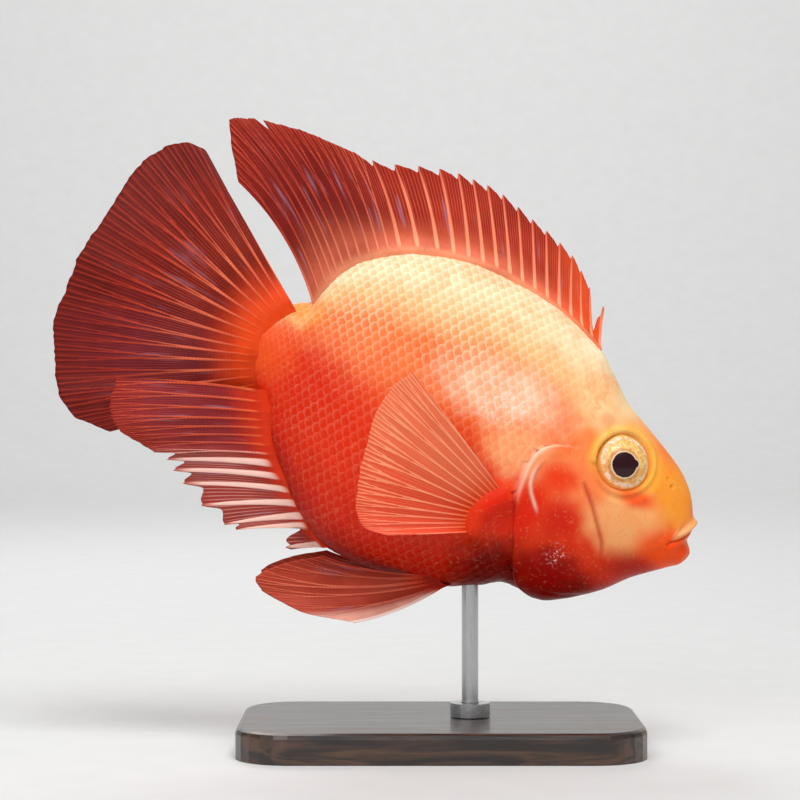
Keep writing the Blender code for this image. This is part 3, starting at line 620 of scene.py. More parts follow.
SCALE_STEP = 3.0  # along a row
SCALE_ROW = 2.45  # between rows
SCALE_SHRINK = 0.35  # how fast the scales shrink with the height of the body
SCALE_ACROSS = 9
SCALE_ALONG = 4
SCALE_ROWS = 34  # above the middle of the flank, and as many below it
SCALE_REACH = 1.34  # from root to free edge, in steps
SCALE_AHEAD = 0.22  # the part ahead of the root, in steps
TAIL_REACH = 0.42  # from root to free edge at a scale's two sides
SCALE_LIFT = 0.22  # of the free edge over the skin
SCALE_THICK = 0.16
NAPE_END = 47.0
LAST_ROOT = TAIL_END + 8
FLAP_GAP = 1.1  # between the flap's edge and the first roots behind it
REACH_STEP = 0.5
PATCH = 0.003  # a scale's place on the unwrapped skin
SIDES = ((-1, "right"), (1, "left"))

scale_x = np.linspace(NAPE_END + 6, TAIL_END - 1, 600)
shrink_at = ((back_at(scale_x) - belly_at(scale_x)) / (back_at(0) - belly_at(0))) ** SCALE_SHRINK
scale_steps = np.concatenate([[0], np.cumsum(-np.diff(scale_x) / (SCALE_STEP * shrink_at[1:]))])
turn_table = np.radians(np.linspace(-40, 220, 521))
reach_table = np.arange(-90, 90.1, REACH_STEP)
turn_of_reach = []
for x in scale_x:
    ring = body_point(np.full(turn_table.shape, x), turn_table)
    path = np.concatenate([[0], np.cumsum(np.linalg.norm(np.diff(ring, axis=0), axis=1))])
    path = np.interp(math.pi / 2, turn_table, path) - path
    turn_of_reach.append(np.interp(reach_table, path[::-1], turn_table[::-1]))
turn_of_reach = np.array(turn_of_reach)


def row_place(step, row):
    """The place along the body and the turn round it, for a place counted in steps and rows of scales."""
    x = np.interp(step, scale_steps, scale_x)
    shrink = np.interp(step, scale_steps, shrink_at)
    i = np.interp(step, scale_steps, np.arange(len(scale_x)))
    j = (row * SCALE_ROW * shrink - reach_table[0]) / REACH_STEP
    low_i, low_j = np.floor(i).astype(int).clip(0, len(scale_x) - 2), np.floor(j).astype(int)
    low_j = low_j.clip(0, len(reach_table) - 2)
    fi, fj = i - low_i, j - low_j
    turn = sum(turn_of_reach[low_i + a, low_j + b] * abs(1 - a - fi) * abs(1 - b - fj)
               for a in (0, 1) for b in (0, 1))
    return x, turn


def scale_roots():
    """The step and row of every scale of the left side."""
    rows = np.arange(-SCALE_ROWS, SCALE_ROWS + 1)
    counts = np.arange(0, int(scale_steps[-1]))
    step, row = (v.ravel().astype(float) for v in np.meshgrid(counts, rows))
    step += 0.5 * (row % 2)
    x, turn = row_place(step, row)
    down = degrees_down(turn)
    front = np.where(down > 70, flap_edge_at(down) - FLAP_GAP, NAPE_END - 0.12 * down)
    keep = (x < front) & (x > LAST_ROOT) & (turn > 0.02) & (turn < math.pi - 0.01)
    return step[keep], row[keep]


def scale_template():
    """One plate as a flat slab: how far along it each point lies, how far across, and on which face."""
    mesh, column, row, face = sheet_mesh("plate", SCALE_ACROSS, SCALE_ALONG, two_faced=True)
    across = column / (SCALE_ACROSS - 1) * 2 - 1
    along = row / (SCALE_ALONG - 1)
    faces = [tuple(p.vertices) for p in mesh.polygons]
    bpy.data.meshes.remove(mesh)
    return across, along, face, faces


def build_scales(side, low, high, name):
    """The scales of one side whose roots lie between two places along the body, as one mesh."""
    across, along, face, faces = scale_template()
    step, row = scale_roots()
    x, turn = row_place(step, row)
    chosen = (x > low) & (x <= high)
    step, row, x, turn = step[chosen], row[chosen], x[chosen], turn[chosen]
    draw = np.random.default_rng(7)
    tone = draw.uniform(-1, 1, (len(step), 1))
    tilt = draw.normal(0, 0.07, (len(step), 1))

    rounded = np.sqrt(np.clip(1 - across**2, 0, 1))
    wide = across * (0.55 + 0.45 * np.minimum(1, along * 1.6)) * (1 - 0.06 * along)
    tail_reach = TAIL_REACH + (SCALE_REACH - TAIL_REACH) * rounded**1.25
    back = -SCALE_AHEAD + along * (tail_reach + SCALE_AHEAD)
    root = body_point(x, turn)
    up = (root[:, 2] - belly_at(x)) / (back_at(x) - belly_at(x))
    bold = (1 - 0.78 * rise(x, 6, NAPE_END - 6)) * rise(x, TAIL_END + 5, TAIL_END + 32)
    bold = (bold * rise(np.abs(from_line(root[:, 0], root[:, 2], FIN_SHOULDER)[0]), 2.5, 7))[:, None]
    patchy = np.sin(x * 0.21 + 1.4 * np.sin(root[:, 2] * 0.19)) * np.sin(root[:, 2] * 0.17 + 0.6)
    edge_light = (0.08 + 0.08 * rise(up, 0.1, 0.3) + 0.6 * rise(up, 0.48, 0.8)) * (0.75 + 0.25 * patchy)
    rim_light = bold * edge_light[:, None] * (1 + 0.4 * tone)
    steps = step[:, None] + back + tilt * across * 0.4
    rows = row[:, None] + wide * 1.02
    place_x, place_turn = row_place(steps, rows)
    rim = back / SCALE_REACH
    lift = (SCALE_LIFT * np.clip(rim, -0.4, 1) * (1 - 0.35 * across**2) + 0.03 * tone) * bold + 0.02
    lift = lift - 0.11 * (1 - bold) * (1 - along)
    lift = lift - np.where(face > 0, 0.0, SCALE_THICK + 0.12 * (1 - along))
    points = skin_point(place_x, place_turn, lift)
    points[..., 1] *= side

    mesh = bpy.data.meshes.new(name)
    count, size = points.shape[:2]
    mesh.vertices.add(count * size)
    mesh.vertices.foreach_set("co", in_pose(points).ravel())
    order = [face[::-1] for face in faces] if side < 0 else faces
    corner = np.concatenate([np.array(f) for f in order])
    sizes = np.array([len(f) for f in order])
    starts = np.concatenate([[0], np.cumsum(sizes)[:-1]])
    shift = np.arange(count)[:, None]
    mesh.loops.add(count * len(corner))
    mesh.loops.foreach_set("vertex_index", (corner + shift * size).ravel())
    mesh.polygons.add(count * len(sizes))
    mesh.polygons.foreach_set("loop_start", (starts + shift * len(corner)).ravel())
    mesh.update(calc_edges=True)

    def at_each_point(values):
        return np.broadcast_to(values, points.shape[:2]).ravel()

    speckles, flecks = spots(place_x.ravel(), place_turn.ravel())
    mark(mesh, markings=markings(place_x.ravel(), place_turn.ravel()), flecks=flecks, speckles=speckles * 0.3,
         rim=at_each_point(np.clip(back / tail_reach, 0, 1)), tone=at_each_point(tone * 0.5 + 0.5),
         bold=at_each_point(bold), rim_light=at_each_point(rim_light))
    root_u = np.where(side > 0, turn, 2 * math.pi - turn) / (2 * math.pi)
    root_v = (x - TAIL_END) / (SNOUT_END - TAIL_END)
    patch_u = root_u[:, None] * 0.99 + 0.003 + PATCH * across / 2
    patch = np.stack([patch_u, root_v[:, None] * 0.98 + PATCH * (along - 0.5)], -1)
    uv = mesh.uv_layers.new(name="OFBake")
    uv.data.foreach_set("uv", patch.reshape(-1, 2)[(corner + shift * size).ravel()].ravel())
    mesh.validate()
    close_up(mesh)
    mesh.set_sharp_from_angle(angle=math.radians(50))
    return mesh


def scale_finish():
    """The skin's markings, deeper in the pocket, with a pale free edge and fine growth lines."""
    material, tree, shader = new_finish("scales", coat_weight=0.06, coat_roughness=0.15, ior=1.3,
                                        specular_ior_level=0.25)
    rim = attribute(tree, "rim")
    shared = skin_paint(tree, 0.45)
    colour = shared["Colour"]
    tone = band(tree, attribute(tree, "tone"), 0, 1, 0.0, 0.3)
    deeper = mixed(tree, 1.0, colour, (0.94, 0.62, 0.42, 1), "MULTIPLY")
    colour = mixed(tree, tone, colour, deeper)
    pocket = times(tree, band(tree, rim, 0.9, 0.5, 0.0, 0.6), attribute(tree, "bold"))
    colour = mixed(tree, pocket, colour, deeper)
    paler = mixed(tree, 0.6, colour, (1.0, 0.8, 0.58, 1))
    edge = times(tree, band(tree, rim, 0.7, 0.95, 0.0, 0.8), attribute(tree, "rim_light"))
    colour = mixed(tree, edge, colour, paler)
    lines = sum_of(tree, "SINE", times(tree, rim, 60))
    height = sum_of(tree, "ADD", times(tree, lines, 0.2), shared["Height"])
    dress(tree, shader, colour, shared["Wetness"], (height, 0.2, 0.0003))
    return material


scale_paint = scale_finish()
for side, word in SIDES:
    for low, high, part in ((2, 60, "front"), (-70, 2, "rear")):
        add_piece(build_scales(side, low, high, f"scales_{word}_{part}"), scale_paint, slot="skin")


# Eyes
# A large glassy eye on each side: a golden iris with pale rings and a dark pupil a little below its middle,
# sunk in its socket and turned with the side of the head. The broken pale ring near the iris's edge is a
# painted highlight on the cornea's rim.

EYE_RADIUS = 9.0
EYE_DEPTH = 6.5
EYE_SINK = 3.7
EYE_FOLLOWS_SKIN = 0.75
PUPIL = (-0.6, -1.55)


def eye_frame(side):
    """Where the eye's middle meets the skin, and its directions ahead, up and out of the head."""
    x, z = EYE
    slant_x = float(skin_reach(x + 2, z) - skin_reach(x - 2, z)) / 4
    slant_z = float(skin_reach(x, z + 2) - skin_reach(x, z - 2)) / 4
    out = Vector((-slant_x * EYE_FOLLOWS_SKIN, side, -slant_z * EYE_FOLLOWS_SKIN)).normalized()
    ahead = Vector((1, 0, 0))
    ahead = (ahead - out * ahead.dot(out)).normalized()
    return Vector((x, side * float(skin_reach(x, z)), z)), ahead, out.cross(ahead) * -side, out


def build_eye_mesh(side, name):
    middle, ahead, up, out = (np.array(v) for v in eye_frame(side))
    bm = bmesh.new()
    bmesh.ops.create_uvsphere(bm, u_segments=96, v_segments=64, radius=1)
    mesh = bpy.data.meshes.new(name)
    bm.to_mesh(mesh)
    bm.free()
    ball = np.empty(len(mesh.vertices) * 3)
    mesh.vertices.foreach_get("co", ball)
    ball = ball.reshape(-1, 3)
    from_middle = np.hypot(ball[:, 0], ball[:, 1]) * EYE_RADIUS
    across, high = ball[:, 0] * EYE_RADIUS, ball[:, 1] * EYE_RADIUS
    from_pupil = np.hypot(across - PUPIL[0], high - PUPIL[1])
    outer = ball[:, 2] > 0
    dome = outer * (0.22 * bell(from_pupil, 3.9) - 0.14 * bell(from_middle - 7.1, 0.5))
    depth = ball[:, 2] * EYE_DEPTH - EYE_SINK + dome
    points = middle + np.outer(across, ahead) + np.outer(high, up) + np.outer(depth, out)
    mesh.vertices.foreach_set("co", in_pose(points).ravel())
    mark(mesh, eye_place=np.stack([across, high, 0 * depth], axis=1))
    close_up(mesh, merge=SEAM, fill=True)
    return mesh


def eye_finish():
    """Rings of paint round the pupil under a clear, wet coat; the outer pale arcs are a painted highlight."""
    material, tree, shader = new_finish("glassy_eye", roughness=0.3, coat_weight=0.3, coat_roughness=0.02,
                                        specular_ior_level=0.15)
    place = attribute(tree, "eye_place", "Vector")
    off = node(tree, "VectorMath", {0: place, 1: (*PUPIL, 0)}, operation="SUBTRACT").outputs[0]
    from_pupil = node(tree, "VectorMath", {0: off}, operation="LENGTH").outputs["Value"]
    from_middle = node(tree, "VectorMath", {0: place}, operation="LENGTH").outputs["Value"]
    wobble = noise(tree, place, 1.1, 2)
    from_pupil = sum_of(tree, "ADD", from_pupil, times(tree, wobble, 0.35))
    cloud = noise(tree, place, 0.55, 6, 0.8)
    fleck = noise(tree, place, 3.4, 4)
    gold = mixed(tree, band(tree, cloud, 0.38, 0.6, 0, 0.75), (0.98, 0.66, 0.22, 1), (0.76, 0.3, 0.04, 1))
    streaks = sum_of(tree, "SINE", times(tree, from_middle, 7.0))
    streaks = times(tree, band(tree, streaks, 0.3, 1.0), band(tree, fleck, 0.45, 0.6))
    gold = mixed(tree, times(tree, streaks, 0.7), gold, (0.98, 0.84, 0.45, 1))
    gold = mixed(tree, band(tree, fleck, 0.6, 0.7, 0, 0.75), gold, (0.3, 0.07, 0.02, 1))
    gold = mixed(tree, band(tree, from_pupil, 5.6, 4.7, 0, 0.6), gold, (0.5, 0.13, 0.03, 1))
    # Painted highlight: pale lilac arcs near the iris's edge, broken up by the cloud, stand in for light on
    # the cornea's rim.
    pale = times(tree, band(tree, from_middle, 6.4, 6.9), band(tree, from_middle, 7.7, 7.3))
    pale = times(tree, pale, band(tree, cloud, 0.6, 0.42, 0.1, 0.8))
    gold = mixed(tree, pale, gold, (0.92, 0.76, 0.74, 1))
    gold = mixed(tree, band(tree, from_middle, 7.6, 8.0), gold, (0.8, 0.42, 0.1, 1))
    notch = node(tree, "VectorMath", {0: place, 1: (PUPIL[0] + 2.9, PUPIL[1] + 1.7, 0)}, operation="DISTANCE")
    from_pupil = sum_of(tree, "MINIMUM", from_pupil, sum_of(tree, "ADD", notch.outputs["Value"], 2.7))
    gold = mixed(tree, band(tree, from_pupil, 4.4, 4.15, 0, 0.65), gold, (0.95, 0.76, 0.55, 1))
    colour = mixed(tree, band(tree, from_pupil, 4.0, 3.8), gold, (0.025, 0.003, 0.006, 1))
    dress(tree, shader, colour, bumps=(cloud, 0.12, 0.0003))
    return material


eye_paint = eye_finish()
for side, word in SIDES:
    add_piece(build_eye_mesh(side, "glass_eye_" + word), eye_paint, "eye_" + word, slot="eye")


# Fin on the back
# Sixteen stiff spines, each with a free tip, then eleven soft rays that branch and trail behind, with a dark
# red web between them. Each fin is one thin sheet whose rays are raised on both faces, let into the body.

# Each ray's number, and where its root and its tip lie from the side
DORSAL_RAYS = [(0, (34.6, 41.4), (30.4, 53.4)), (1, (31.2, 43.2), (24.6, 57.2)),
               (3, (23.0, 46.3), (15.9, 63.8)), (6, (10.1, 49.2), (0.7, 69.1)),
               (9, (-3.0, 50.9), (-15.7, 73.2)), (11, (-11.9, 50.3), (-25.2, 73.1)),
               (13, (-21.4, 48.9), (-37.0, 70.3)), (15, (-32.1, 45.0), (-50.4, 66.6)),
               (18, (-39.6, 39.6), (-68.2, 66.9)), (20, (-43.6, 35.2), (-80.2, 66.0)),
               (22, (-46.3, 30.8), (-90.0, 63.8)), (24, (-48.0, 26.2), (-95.1, 61.3)),
               (25, (-48.9, 23.0), (-90.8, 53.4)), (26, (-49.4, 19.6), (-86.0, 46.0))]
DORSAL_SPINES = 16
WEB_HALF = 0.13  # half the thickness of the web
EDGE_HALF = 0.07
THINNEST = 0.8  # half the width of the finest branch, in columns of the sheet
FIN_SEAM = 0.001


def notch_depth(ray, spines, spiny, single, soft):
    """The share of a ray's length that the web is cut back by, at a place between two rays."""
    first = np.floor(ray)
    part = ray - first
    values = np.where((first < spines)[:, None], np.array(spiny, float), np.array(soft, float))
    for number, own in (single or {}).items():
        values = np.where((first == number)[:, None], np.array(own, float), values)
    right_behind, dip, place = values.T
    tip = 0.1
    down = right_behind + (dip - right_behind) * rise(part, tip, place)
    up = dip * (1 - rise(part, place, 1.0) ** 0.8)
    return np.where(part < tip, right_behind * rise(part, 0, tip), np.where(part < place, down, up))


def build_fin_mesh(name, rays, side_at, paint, rows, per_ray, ray_half, proud, root_half, sink,
                   spines=0, spine_half=0.62, spiny=(0, 0, 0.5), single=None, soft=(0.004, 0.004, 0.5),
                   bends=(0, 0), pleat=0.2, branching=(0.3, 0.62)):
    """A thin sheet with its rays raised on both faces, as the rays' roots and tips say from the side.

    The rays stand proud of the web by this much. The sheet is root_half thick to each side where it leaves
    the body, and is let into it by sink.
    """
    last = rays[-1][0]
    root_x, root_z, tip_x, tip_z = (curve_through([(r[0], r[end][axis]) for r in rays])
                                    for end in (1, 2) for axis in (0, 1))
    columns = last * per_ray + 7
    mesh, column, row, face = sheet_mesh(name, columns, rows, two_faced=True)
    ray = np.clip((column - 3) / per_ray, -0.12, last + 0.12)
    reach = 1 - notch_depth(np.clip(ray, 0, last - 1e-6), spines, spiny, single, soft)
    flutter = 0.003 * (np.sin(ray * 2.1) + np.sin(ray * 7.3 + 1) * 0.6 + np.sin(ray * 17.3) * 0.4)
    reach = reach + (flutter - 0.004) * (ray > spines)

    def flat_point(at, share):
        at = np.clip(at, -0.12, last + 0.12)
        root = np.stack([root_x(at), root_z(at)], -1)
        line = np.stack([tip_x(at), tip_z(at)], -1) - root
        length = np.linalg.norm(line, axis=-1)
        across = np.stack([-line[..., 1], line[..., 0]], -1) / length[..., None]
        across = across * np.where(across[..., 1:] < 0, -1, 1)
        inside = np.clip(share, 0, 1) * (1 - np.clip(share, 0, 1))
        bend = (bends[0] + (bends[1] - bends[0]) * at / last) * 4 * length * inside
        return root + line * share[..., None] + across * bend[..., None], length

    _, length = flat_point(ray, 0 * ray)
    share = -sink / length + (reach + sink / length) * row / (rows - 1)
    grown = np.maximum(share, 0)
    flat, _ = flat_point(ray, share)
    spacing = np.linalg.norm(flat_point(ray + 0.5, grown)[0] - flat_point(ray - 0.5, grown)[0], axis=-1)
    own = np.round(ray)
    branching_here = own >= spines
    first = 0.25 * rise(grown, branching[0], 1.0) * branching_here
    second = 0.125 * rise(grown, branching[1], 1.05) * branching_here
    taper = 1 - 0.62 * grown
    narrower = 1 - 0.45 * branching_here * rise(grown, 0.3, 1.0)
    bone = np.zeros(len(ray))
    for a in (-1, 1):
        for b in (-1, 1):
            away = np.abs(ray - own - a * first - b * second) * spacing
            width = np.where(own < spines, spine_half, ray_half) * taper * narrower
            width = np.maximum(width, THINNEST * spacing / per_ray)
            bone = np.maximum(bone, np.clip(1 - (away / width) ** 2, 0, 1) ** 0.6)
    bone = bone * rise(grown, -0.02, 0.09)
    stands = proud * taper * bone
    web = WEB_HALF + (root_half - WEB_HALF) * np.maximum(0, 1 - grown / 0.22) ** 2
    half = np.where(row == rows - 1, EDGE_HALF + 0.25 * stands, web + stands)
    fold = pleat * np.cos(math.pi * ray) * rise(grown, 0.1, 0.6)
    points = np.stack([flat[:, 0], side_at(ray, grown) + fold + face * half, flat[:, 1]], axis=1)
    mesh.vertices.foreach_set("co", in_pose(points).ravel())
    web_paint, ray_paint = paint(ray, grown)
    mark(mesh, markings=web_paint, ray_paint=ray_paint, bone=bone, soft_ray=branching_here,
         fin_place=np.stack([ray, grown * length, grown], axis=1))
    close_up(mesh, merge=FIN_SEAM)
    return mesh


def layered(base, *layers):
    """A paint laid over with others, each by its mask."""
    paint = np.broadcast_to(paint_of(*base), (len(layers[0][1]), 3)).copy()
    for colour, mask in layers:
        paint += (paint_of(*colour) - paint) * np.clip(mask, 0, 1)[:, None]
    return paint


def fin_finish(name, strands=6.0, see_through=0.0, bloom=0.5, cloudy=0.6, joints=0.4):
    """A web with pale rays in it, fine strands between them, each ray's short joints and a pearly bloom."""
    material, tree, shader = new_finish(name, coat_weight=0.03, coat_roughness=0.2, ior=1.3,
                                        specular_ior_level=0.2)
    place = attribute(tree, "fin_place", "Vector")
    number, along, share = node(tree, "SeparateXYZ", {0: place}).outputs
    bone = attribute(tree, "bone")
    ray_paint = attribute(tree, "ray_paint", "Color")
    object_place = node(tree, "TexCoord").outputs["Object"]
    cloud = noise(tree, object_place, 90, 4)
    fine = noise(tree, object_place, 1400, 2)
    stretched = node(tree, "Mapping", {"Vector": place, "Scale": (2.2, 0.05, 0)}).outputs[0]
    pearl = noise(tree, stretched, 1.0, 3)
    strand = sum_of(tree, "SINE", times(tree, number, strands * 2 * math.pi))
    strand = times(tree, band(tree, strand, 0.2, 0.95), band(tree, share, 0.1, 0.55))
    joint = band(tree, sum_of(tree, "SINE", times(tree, along, 2 * math.pi / 1.1)), -0.2, 0.7)
    colour = attribute(tree, "markings", "Color")
    deeper = mixed(tree, 1.0, colour, (0.68, 0.52, 0.5, 1), "MULTIPLY")
    colour = mixed(tree, band(tree, cloud, 0.4, 0.65, 0, cloudy), colour, deeper)
    pearl_here = times(tree, band(tree, share, 0.12, 0.3), band(tree, share, 0.9, 0.6))
    pearl = times(tree, band(tree, pearl, 0.56, 0.72, 0, bloom), pearl_here)
    colour = mixed(tree, pearl, colour, (0.36, 0.2, 0.28, 1))
    paler = mixed(tree, 0.4, colour, ray_paint)
    colour = mixed(tree, times(tree, strand, 0.7), colour, paler)
    soft_ray = attribute(tree, "soft_ray")
    joint = times(tree, joint, soft_ray)
    faded = times(tree, band(tree, cloud, 0.62, 0.38, 0, 0.5), soft_ray)
    dimmed = sum_of(tree, "MAXIMUM", times(tree, joint, joints), faded)
    jointed = mixed(tree, dimmed, ray_paint, paler)
    colour = mixed(tree, band(tree, bone, 0.1, 0.8), colour, jointed)
    height = sum_of(tree, "ADD", times(tree, strand, 0.7), times(tree, joint, 0.25))
    height = sum_of(tree, "ADD", height, times(tree, fine, 0.5))
    dress(tree, shader, colour, band(tree, fine, 0.3, 0.7, 0.36, 0.55), (height, 0.22, 0.0004))
    if see_through:
        solid = band(tree, bone, 0.0, 0.7, 1 - see_through, 1.0)
        tree.links.new(sum_of(tree, "MAXIMUM", solid, band(tree, share, 0.3, 0.0)), shader.inputs["Alpha"])
    return material


def dorsal_side(ray, share):
    """The soft rear part leans gently to the left."""
    return 3.5 * np.maximum(0, (ray - DORSAL_SPINES) / 10) * share**2


def dorsal_paint(ray, share):
    soft = rise(ray, 13, 19)
    root = 1 - rise(share, 0.0, 0.45)
    web = layered((172, 44, 28), ((118, 26, 22), soft), ((150, 34, 22), rise(share, 0.5, 1) * 0.5),
                  ((236, 118, 84), root * (0.9 - 0.3 * soft)), ((240, 84, 30), 0.8 * (1 - rise(ray, 1, 6))),
                  ((252, 176, 128), (1 - rise(share, -0.02, 0.08)) * 0.5))
    rays = layered((250, 140, 106), ((186, 62, 44), soft), ((204, 76, 56), rise(share, 0.55, 1) * 0.5),
                   ((255, 166, 126), root * (1 - 0.5 * soft)))
    return web, rays


add_piece(build_fin_mesh("dorsal_fin_sheet", DORSAL_RAYS, dorsal_side, dorsal_paint, rows=64, per_ray=18,
                         ray_half=0.45, proud=0.34, root_half=2.6, sink=3.0, spines=DORSAL_SPINES,
                         spine_half=0.85, spiny=(0.08, 0.035, 0.5), bends=(-0.02, 0.07),
                         single={0: (0.3, 0.8, 0.8), 21: (0.07, 0.0, 0.5)}),
          fin_finish("dorsal_web"), "dorsal_fin", slot="spiny_fin")


# Tail fin
# A broad fan of branched rays that sweeps a little to the left, orange at its root and dark red beyond, with
# a blue-purple bloom on its lower half.

TAIL_RAYS = [(0, (-56.7, 18.1), (-94.8, 47.2)), (0.5, (-57.4, 17.5), (-99.8, 50.8)),
             (1, (-58.0, 16.8), (-105.0, 50.4)), (3, (-59.9, 13.0), (-115.2, 39.9)),
             (5, (-60.9, 9.0), (-118.8, 21.2)), (7, (-61.0, 4.7), (-121.3, 4.3)),
             (9, (-60.2, 0.5), (-121.6, -11.8)), (11, (-59.1, -2.9), (-117.6, -24.2)),
             (13, (-57.1, -6.7), (-109.8, -36.2)), (14, (-55.7, -8.7), (-102.2, -40.1)),
             (15, (-54.2, -10.6), (-93.0, -39.8))]


def tail_side(ray, share):
    """A sweep to the left with a slow wave across it. Its lower edge starts left of the anal fin."""
    return (8.0 + 2.2 * np.sin(ray * 0.75)) * share**1.6 + 1.7 * np.clip((ray - 10) / 4, 0, 1)


def tail_paint(ray, share):
    root = 1 - rise(share, 0.04, 0.3)
    bloom = bell(ray - 10.5, 3) * bell(share - 0.5, 0.35)
    # Painted shadow: darkens the roots of the lowest rays, in the notch between the tail and the anal fin.
    shade = rise(ray, 12, 14) * (1 - rise(share, 0.06, 0.3))
    web = layered((118, 24, 12), ((106, 26, 20), rise(share, 0.5, 0.95)), ((112, 44, 66), 0.45 * bloom),
                  ((230, 70, 20), root), ((124, 30, 12), 0.5 * shade))
    rays = layered((186, 54, 32), ((150, 44, 32), rise(share, 0.5, 1)),
                   ((255, 128, 90), 0.7 * bell(share - 0.3, 0.2)),
                   ((242, 92, 36), 1 - rise(share, 0.0, 0.15)))
    return web, rays


add_piece(build_fin_mesh("tail_fin_sheet", TAIL_RAYS, tail_side, tail_paint, rows=72, per_ray=20,
                         ray_half=0.36, proud=0.16, root_half=3.0, sink=5.0, branching=(0.05, 0.45)),
          fin_finish("tail_web", bloom=0.25), "tail_fin", slot="soft_fin")


# Anal fin
# Seven broad pale spines, each the lower edge of a dark leaf of web, then soft orange rays in a purple web.
# It is let into the belly's rear edge and ends under the tail.

ANAL_RAYS = [(0, (-19.1, -45.6), (-29.0, -50.6)), (1, (-24.9, -41.9), (-44.7, -51.5)),
             (2, (-27.0, -39.2), (-48.6, -51.5)), (3, (-30.1, -36.6), (-57.0, -48.8)),
             (4, (-33.8, -33.9), (-64.8, -44.9)), (5, (-38.1, -31.5), (-69.0, -42.4)),
             (6, (-41.6, -28.7), (-72.0, -40.2)), (8, (-45.5, -24.2), (-80.4, -38.9)),
             (10, (-48.6, -20.0), (-87.8, -37.5)), (12, (-51.0, -15.8), (-93.2, -32.4)),
             (14, (-54.6, -10.4), (-94.8, -23.9))]
ANAL_SPINES = 7


def anal_side(ray, share):
    """The soft rear part trails to the right of the tail."""
    return -(0.4 + 5.2 * share) * np.clip((ray - 4) / 6, 0, 1) - 1.6 * np.clip((ray - 9) / 3, 0, 1)


def anal_paint(ray, share):
    spiny = 1 - rise(ray, 6, 8)
    root = 1 - rise(share, 0.0, 0.28)
    web = layered((150, 36, 26), ((126, 48, 66), 0.6 * (1 - spiny) * bell(share - 0.55, 0.4)),
                  ((156, 56, 48), spiny), ((224, 56, 22), root))
    rays = layered((214, 84, 52), ((253, 206, 192), spiny), ((250, 112, 60), 0.7 * root * (1 - spiny)),
                   ((240, 90, 56), spiny * (1 - rise(share, 0.0, 0.12))),
                   ((190, 84, 72), spiny * rise(share, 0.8, 1)))
    return web, rays


add_piece(build_fin_mesh("anal_fin_sheet", ANAL_RAYS, anal_side, anal_paint, rows=56, per_ray=22,
                         ray_half=0.45, proud=0.35, root_half=3.2, sink=3.0, spines=ANAL_SPINES,
                         spine_half=1.55, spiny=(0.03, 0.15, 0.76), bends=(0.02, 0.02),
                         single={0: (0.25, 0.85, 0.82)}),
          fin_finish("anal_web"), "anal_fin", slot="spiny_fin")


# Breast fins
# A thin fan of soft salmon rays on each side, standing out from a fleshy orange root behind the gill
# cover. Its web is so fine that the flank shows faintly through it.

PECTORAL_RAYS = [(0, (24.9, -10.3), (-14.6, 12.1)), (2, (23.2, -11.7), (-18.6, 5.5)),
                 (4, (21.2, -13.8), (-19.6, -3.8)), (6, (19.6, -16.1), (-18.3, -13.6)),
                 (8, (18.5, -18.2), (-16.3, -23.9)), (10, (18.5, -20.5), (-13.7, -30.6)),
                 (12, (19.2, -22.2), (-9.0, -34.1)), (13, (20.3, -23.3), (-3.7, -33.5))]
pectoral_root = [curve_through([(r[0], r[1][axis]) for r in PECTORAL_RAYS]) for axis in (0, 1)]


def pectoral_side(side):
    def side_at(ray, share):
        root = skin_reach(pectoral_root[0](ray), pectoral_root[1](ray))
        return side * (root - 1.6 + 45 * (0.56 * share - 0.2 * share**2))
    return side_at


def pectoral_paint(ray, share):
    root = 1 - rise(share, 0.0, 0.3)
    web = layered((255, 122, 82), ((246, 84, 52), rise(ray, 3, 8)), ((236, 62, 16), root))
    rays = layered((255, 158, 116), ((255, 140, 112), rise(ray, 7, 12)), ((248, 92, 32), root))
    return web, rays


pectoral_web = fin_finish("pectoral_web", strands=4.0, see_through=0.22, bloom=0.0, cloudy=0.12,
                          joints=0.12)
for side, word in SIDES:
    add_piece(build_fin_mesh("pectoral_sheet_" + word, PECTORAL_RAYS, pectoral_side(side), pectoral_paint,
                             rows=60, per_ray=16, ray_half=0.36, proud=0.18, root_half=1.5, sink=2.0,
                             pleat=0.12),
              pectoral_web, "pectoral_fin_" + word, slot="soft_fin")


# Belly fins
# A stout white-pink spine leads each of the pair, with five soft rays spread behind it in a red web. The two
# are set close together in the belly below the breast fins.

PELVIC_RAYS = [(0, (18.8, -42.8), (-2.4, -62.0)), (1, (17.5, -42.8), (-18.0, -65.0)),
               (2, (16.0, -42.4), (-30.6, -63.8)), (3, (14.9, -41.9), (-33.5, -60.8)),
               (4, (13.7, -41.4), (-26.3, -53.2)), (5, (12.5, -41.0), (-18.2, -47.8))]


def pelvic_side(side):
    def side_at(ray, share):
        return side * (5.6 + 0.25 * ray + (13 - 0.8 * ray) * share - 3 * share**2)
    return side_at


def pelvic_paint(ray, share):
    root = 1 - rise(share, 0.0, 0.25)
    lead = 1 - rise(ray, 0.3, 1.1)
    rear = rise(ray, 3, 5)
    web = layered((174, 60, 40), ((240, 168, 146), lead), ((120, 24, 14), 0.7 * rear), ((160, 26, 6), root))
    rays = layered((214, 104, 78), ((255, 226, 214), lead), ((170, 56, 36), 0.6 * rear),
                   ((190, 40, 12), root))
    return web, rays


pelvic_web = fin_finish("pelvic_web", strands=8.0)
for side, word in SIDES:
    add_piece(build_fin_mesh("pelvic_sheet_" + word, PELVIC_RAYS, pelvic_side(side), pelvic_paint, rows=56,
                             per_ray=36, ray_half=0.7, proud=0.36, root_half=1.8, sink=2.5, spines=1,
                             spine_half=1.5, bends=(-0.05, -0.05)),
              pelvic_web, "pelvic_fin_" + word, slot="spiny_fin")


# Studio
# A plain pale floor that curves up into a round wall, soft light from large lamps and the sky, and a level
# camera on the fish's right side.

WALL_RADIUS = 2.6
WALL_CURVE = 0.9
WALL_HEIGHT = 1.6


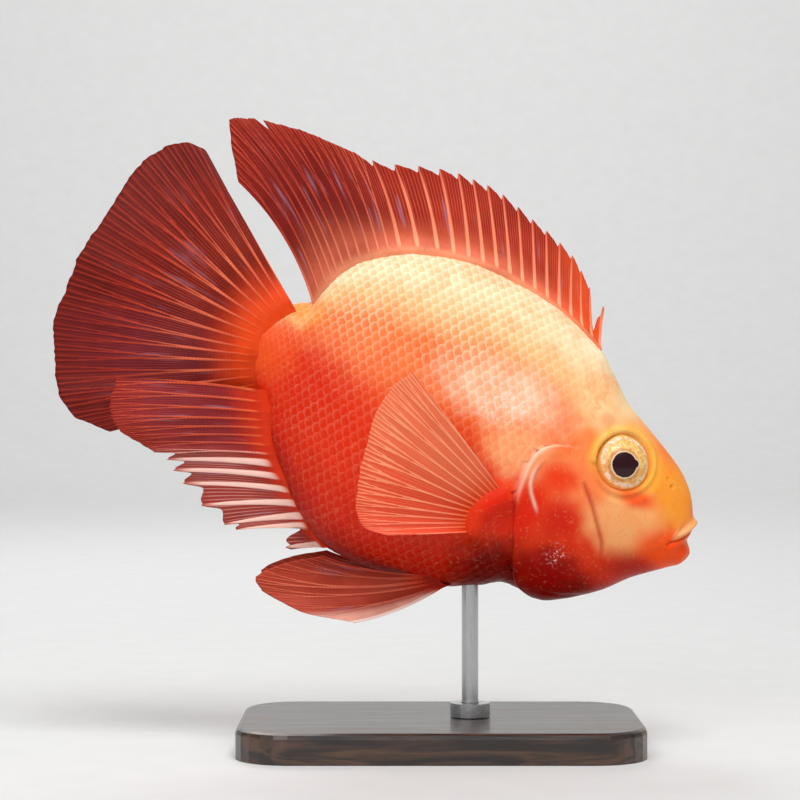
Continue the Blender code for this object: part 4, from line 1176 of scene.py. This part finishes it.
def pale_floor():
    bends = [math.radians(angle) for angle in range(0, 91, 6)]
    inner = WALL_RADIUS - WALL_CURVE
    profile = [(inner + WALL_CURVE * math.sin(bend), WALL_CURVE * (1 - math.cos(bend))) for bend in bends]
    bm = bmesh.new()
    path = [bm.verts.new((x, 0, z)) for x, z in [(0, 0), *profile, (WALL_RADIUS, WALL_HEIGHT)]]
    edges = [bm.edges.new(pair) for pair in zip(path, path[1:])]
    bmesh.ops.spin(bm, geom=path + edges, cent=(0, 0, 0), axis=(0, 0, 1), angle=2 * math.pi, steps=120,
                   use_merge=True)
    bmesh.ops.remove_doubles(bm, verts=bm.verts, dist=MM)
    mesh = bpy.data.meshes.new("pale_floor")
    bm.to_mesh(mesh)
    bm.free()
    mesh.shade_smooth()
    material, tree, shader = new_finish("pale_paper", roughness=0.7)
    place = node(tree, "TexCoord").outputs["Object"]
    grey = mixed(tree, noise(tree, place, 60, 4), (0.7, 0.7, 0.69, 1), (0.76, 0.76, 0.75, 1))
    dress(tree, shader, grey)
    mesh.materials.append(material)
    floor = bpy.data.objects.new("pale_floor", mesh)
    bpy.context.scene.collection.objects.link(floor)


def soft_lamp(name, place, aim, size, power):
    lamp = bpy.data.lights.new(name, "AREA")
    lamp.energy = power
    lamp.shape = "DISK"
    lamp.size = size
    holder = bpy.data.objects.new(name, lamp)
    holder.location = place
    holder.rotation_euler = (Vector(aim) - Vector(place)).to_track_quat("-Z", "Y").to_euler()
    bpy.context.scene.collection.objects.link(holder)


pale_floor()
soft_lamp("key_lamp", (0.15, -0.55, 1.1), (0, 0, 0.11), 0.7, 10.5)
soft_lamp("fill_lamp", (-0.7, -1.2, 0.85), (0, 0, 0.1), 0.9, 5.5)
soft_lamp("back_lamp", (-0.3, 0.8, 0.9), (0, 0, 0.12), 0.7, 4)
soft_lamp("wall_lamp", (0, 1.4, 1.5), (0, 2.6, 0.2), 1.0, 13)
sky = bpy.data.worlds.new("soft_sky")
sky.use_nodes = True
sky.node_tree.nodes["Background"].inputs["Color"].default_value = (0.95, 0.97, 1.0, 1)
sky.node_tree.nodes["Background"].inputs["Strength"].default_value = 0.32
bpy.context.scene.world = sky
bpy.context.scene.view_settings.view_transform = "Standard"

lens = bpy.data.cameras.new("camera")
lens.lens = 105
lens.sensor_width = 36
lens.clip_start = 0.01
camera = bpy.data.objects.new("camera", lens)
camera.location = (-0.012, -0.7, 0.104)
camera.rotation_euler = (math.pi / 2, 0, 0)
bpy.context.scene.collection.objects.link(camera)
bpy.context.scene.camera = camera
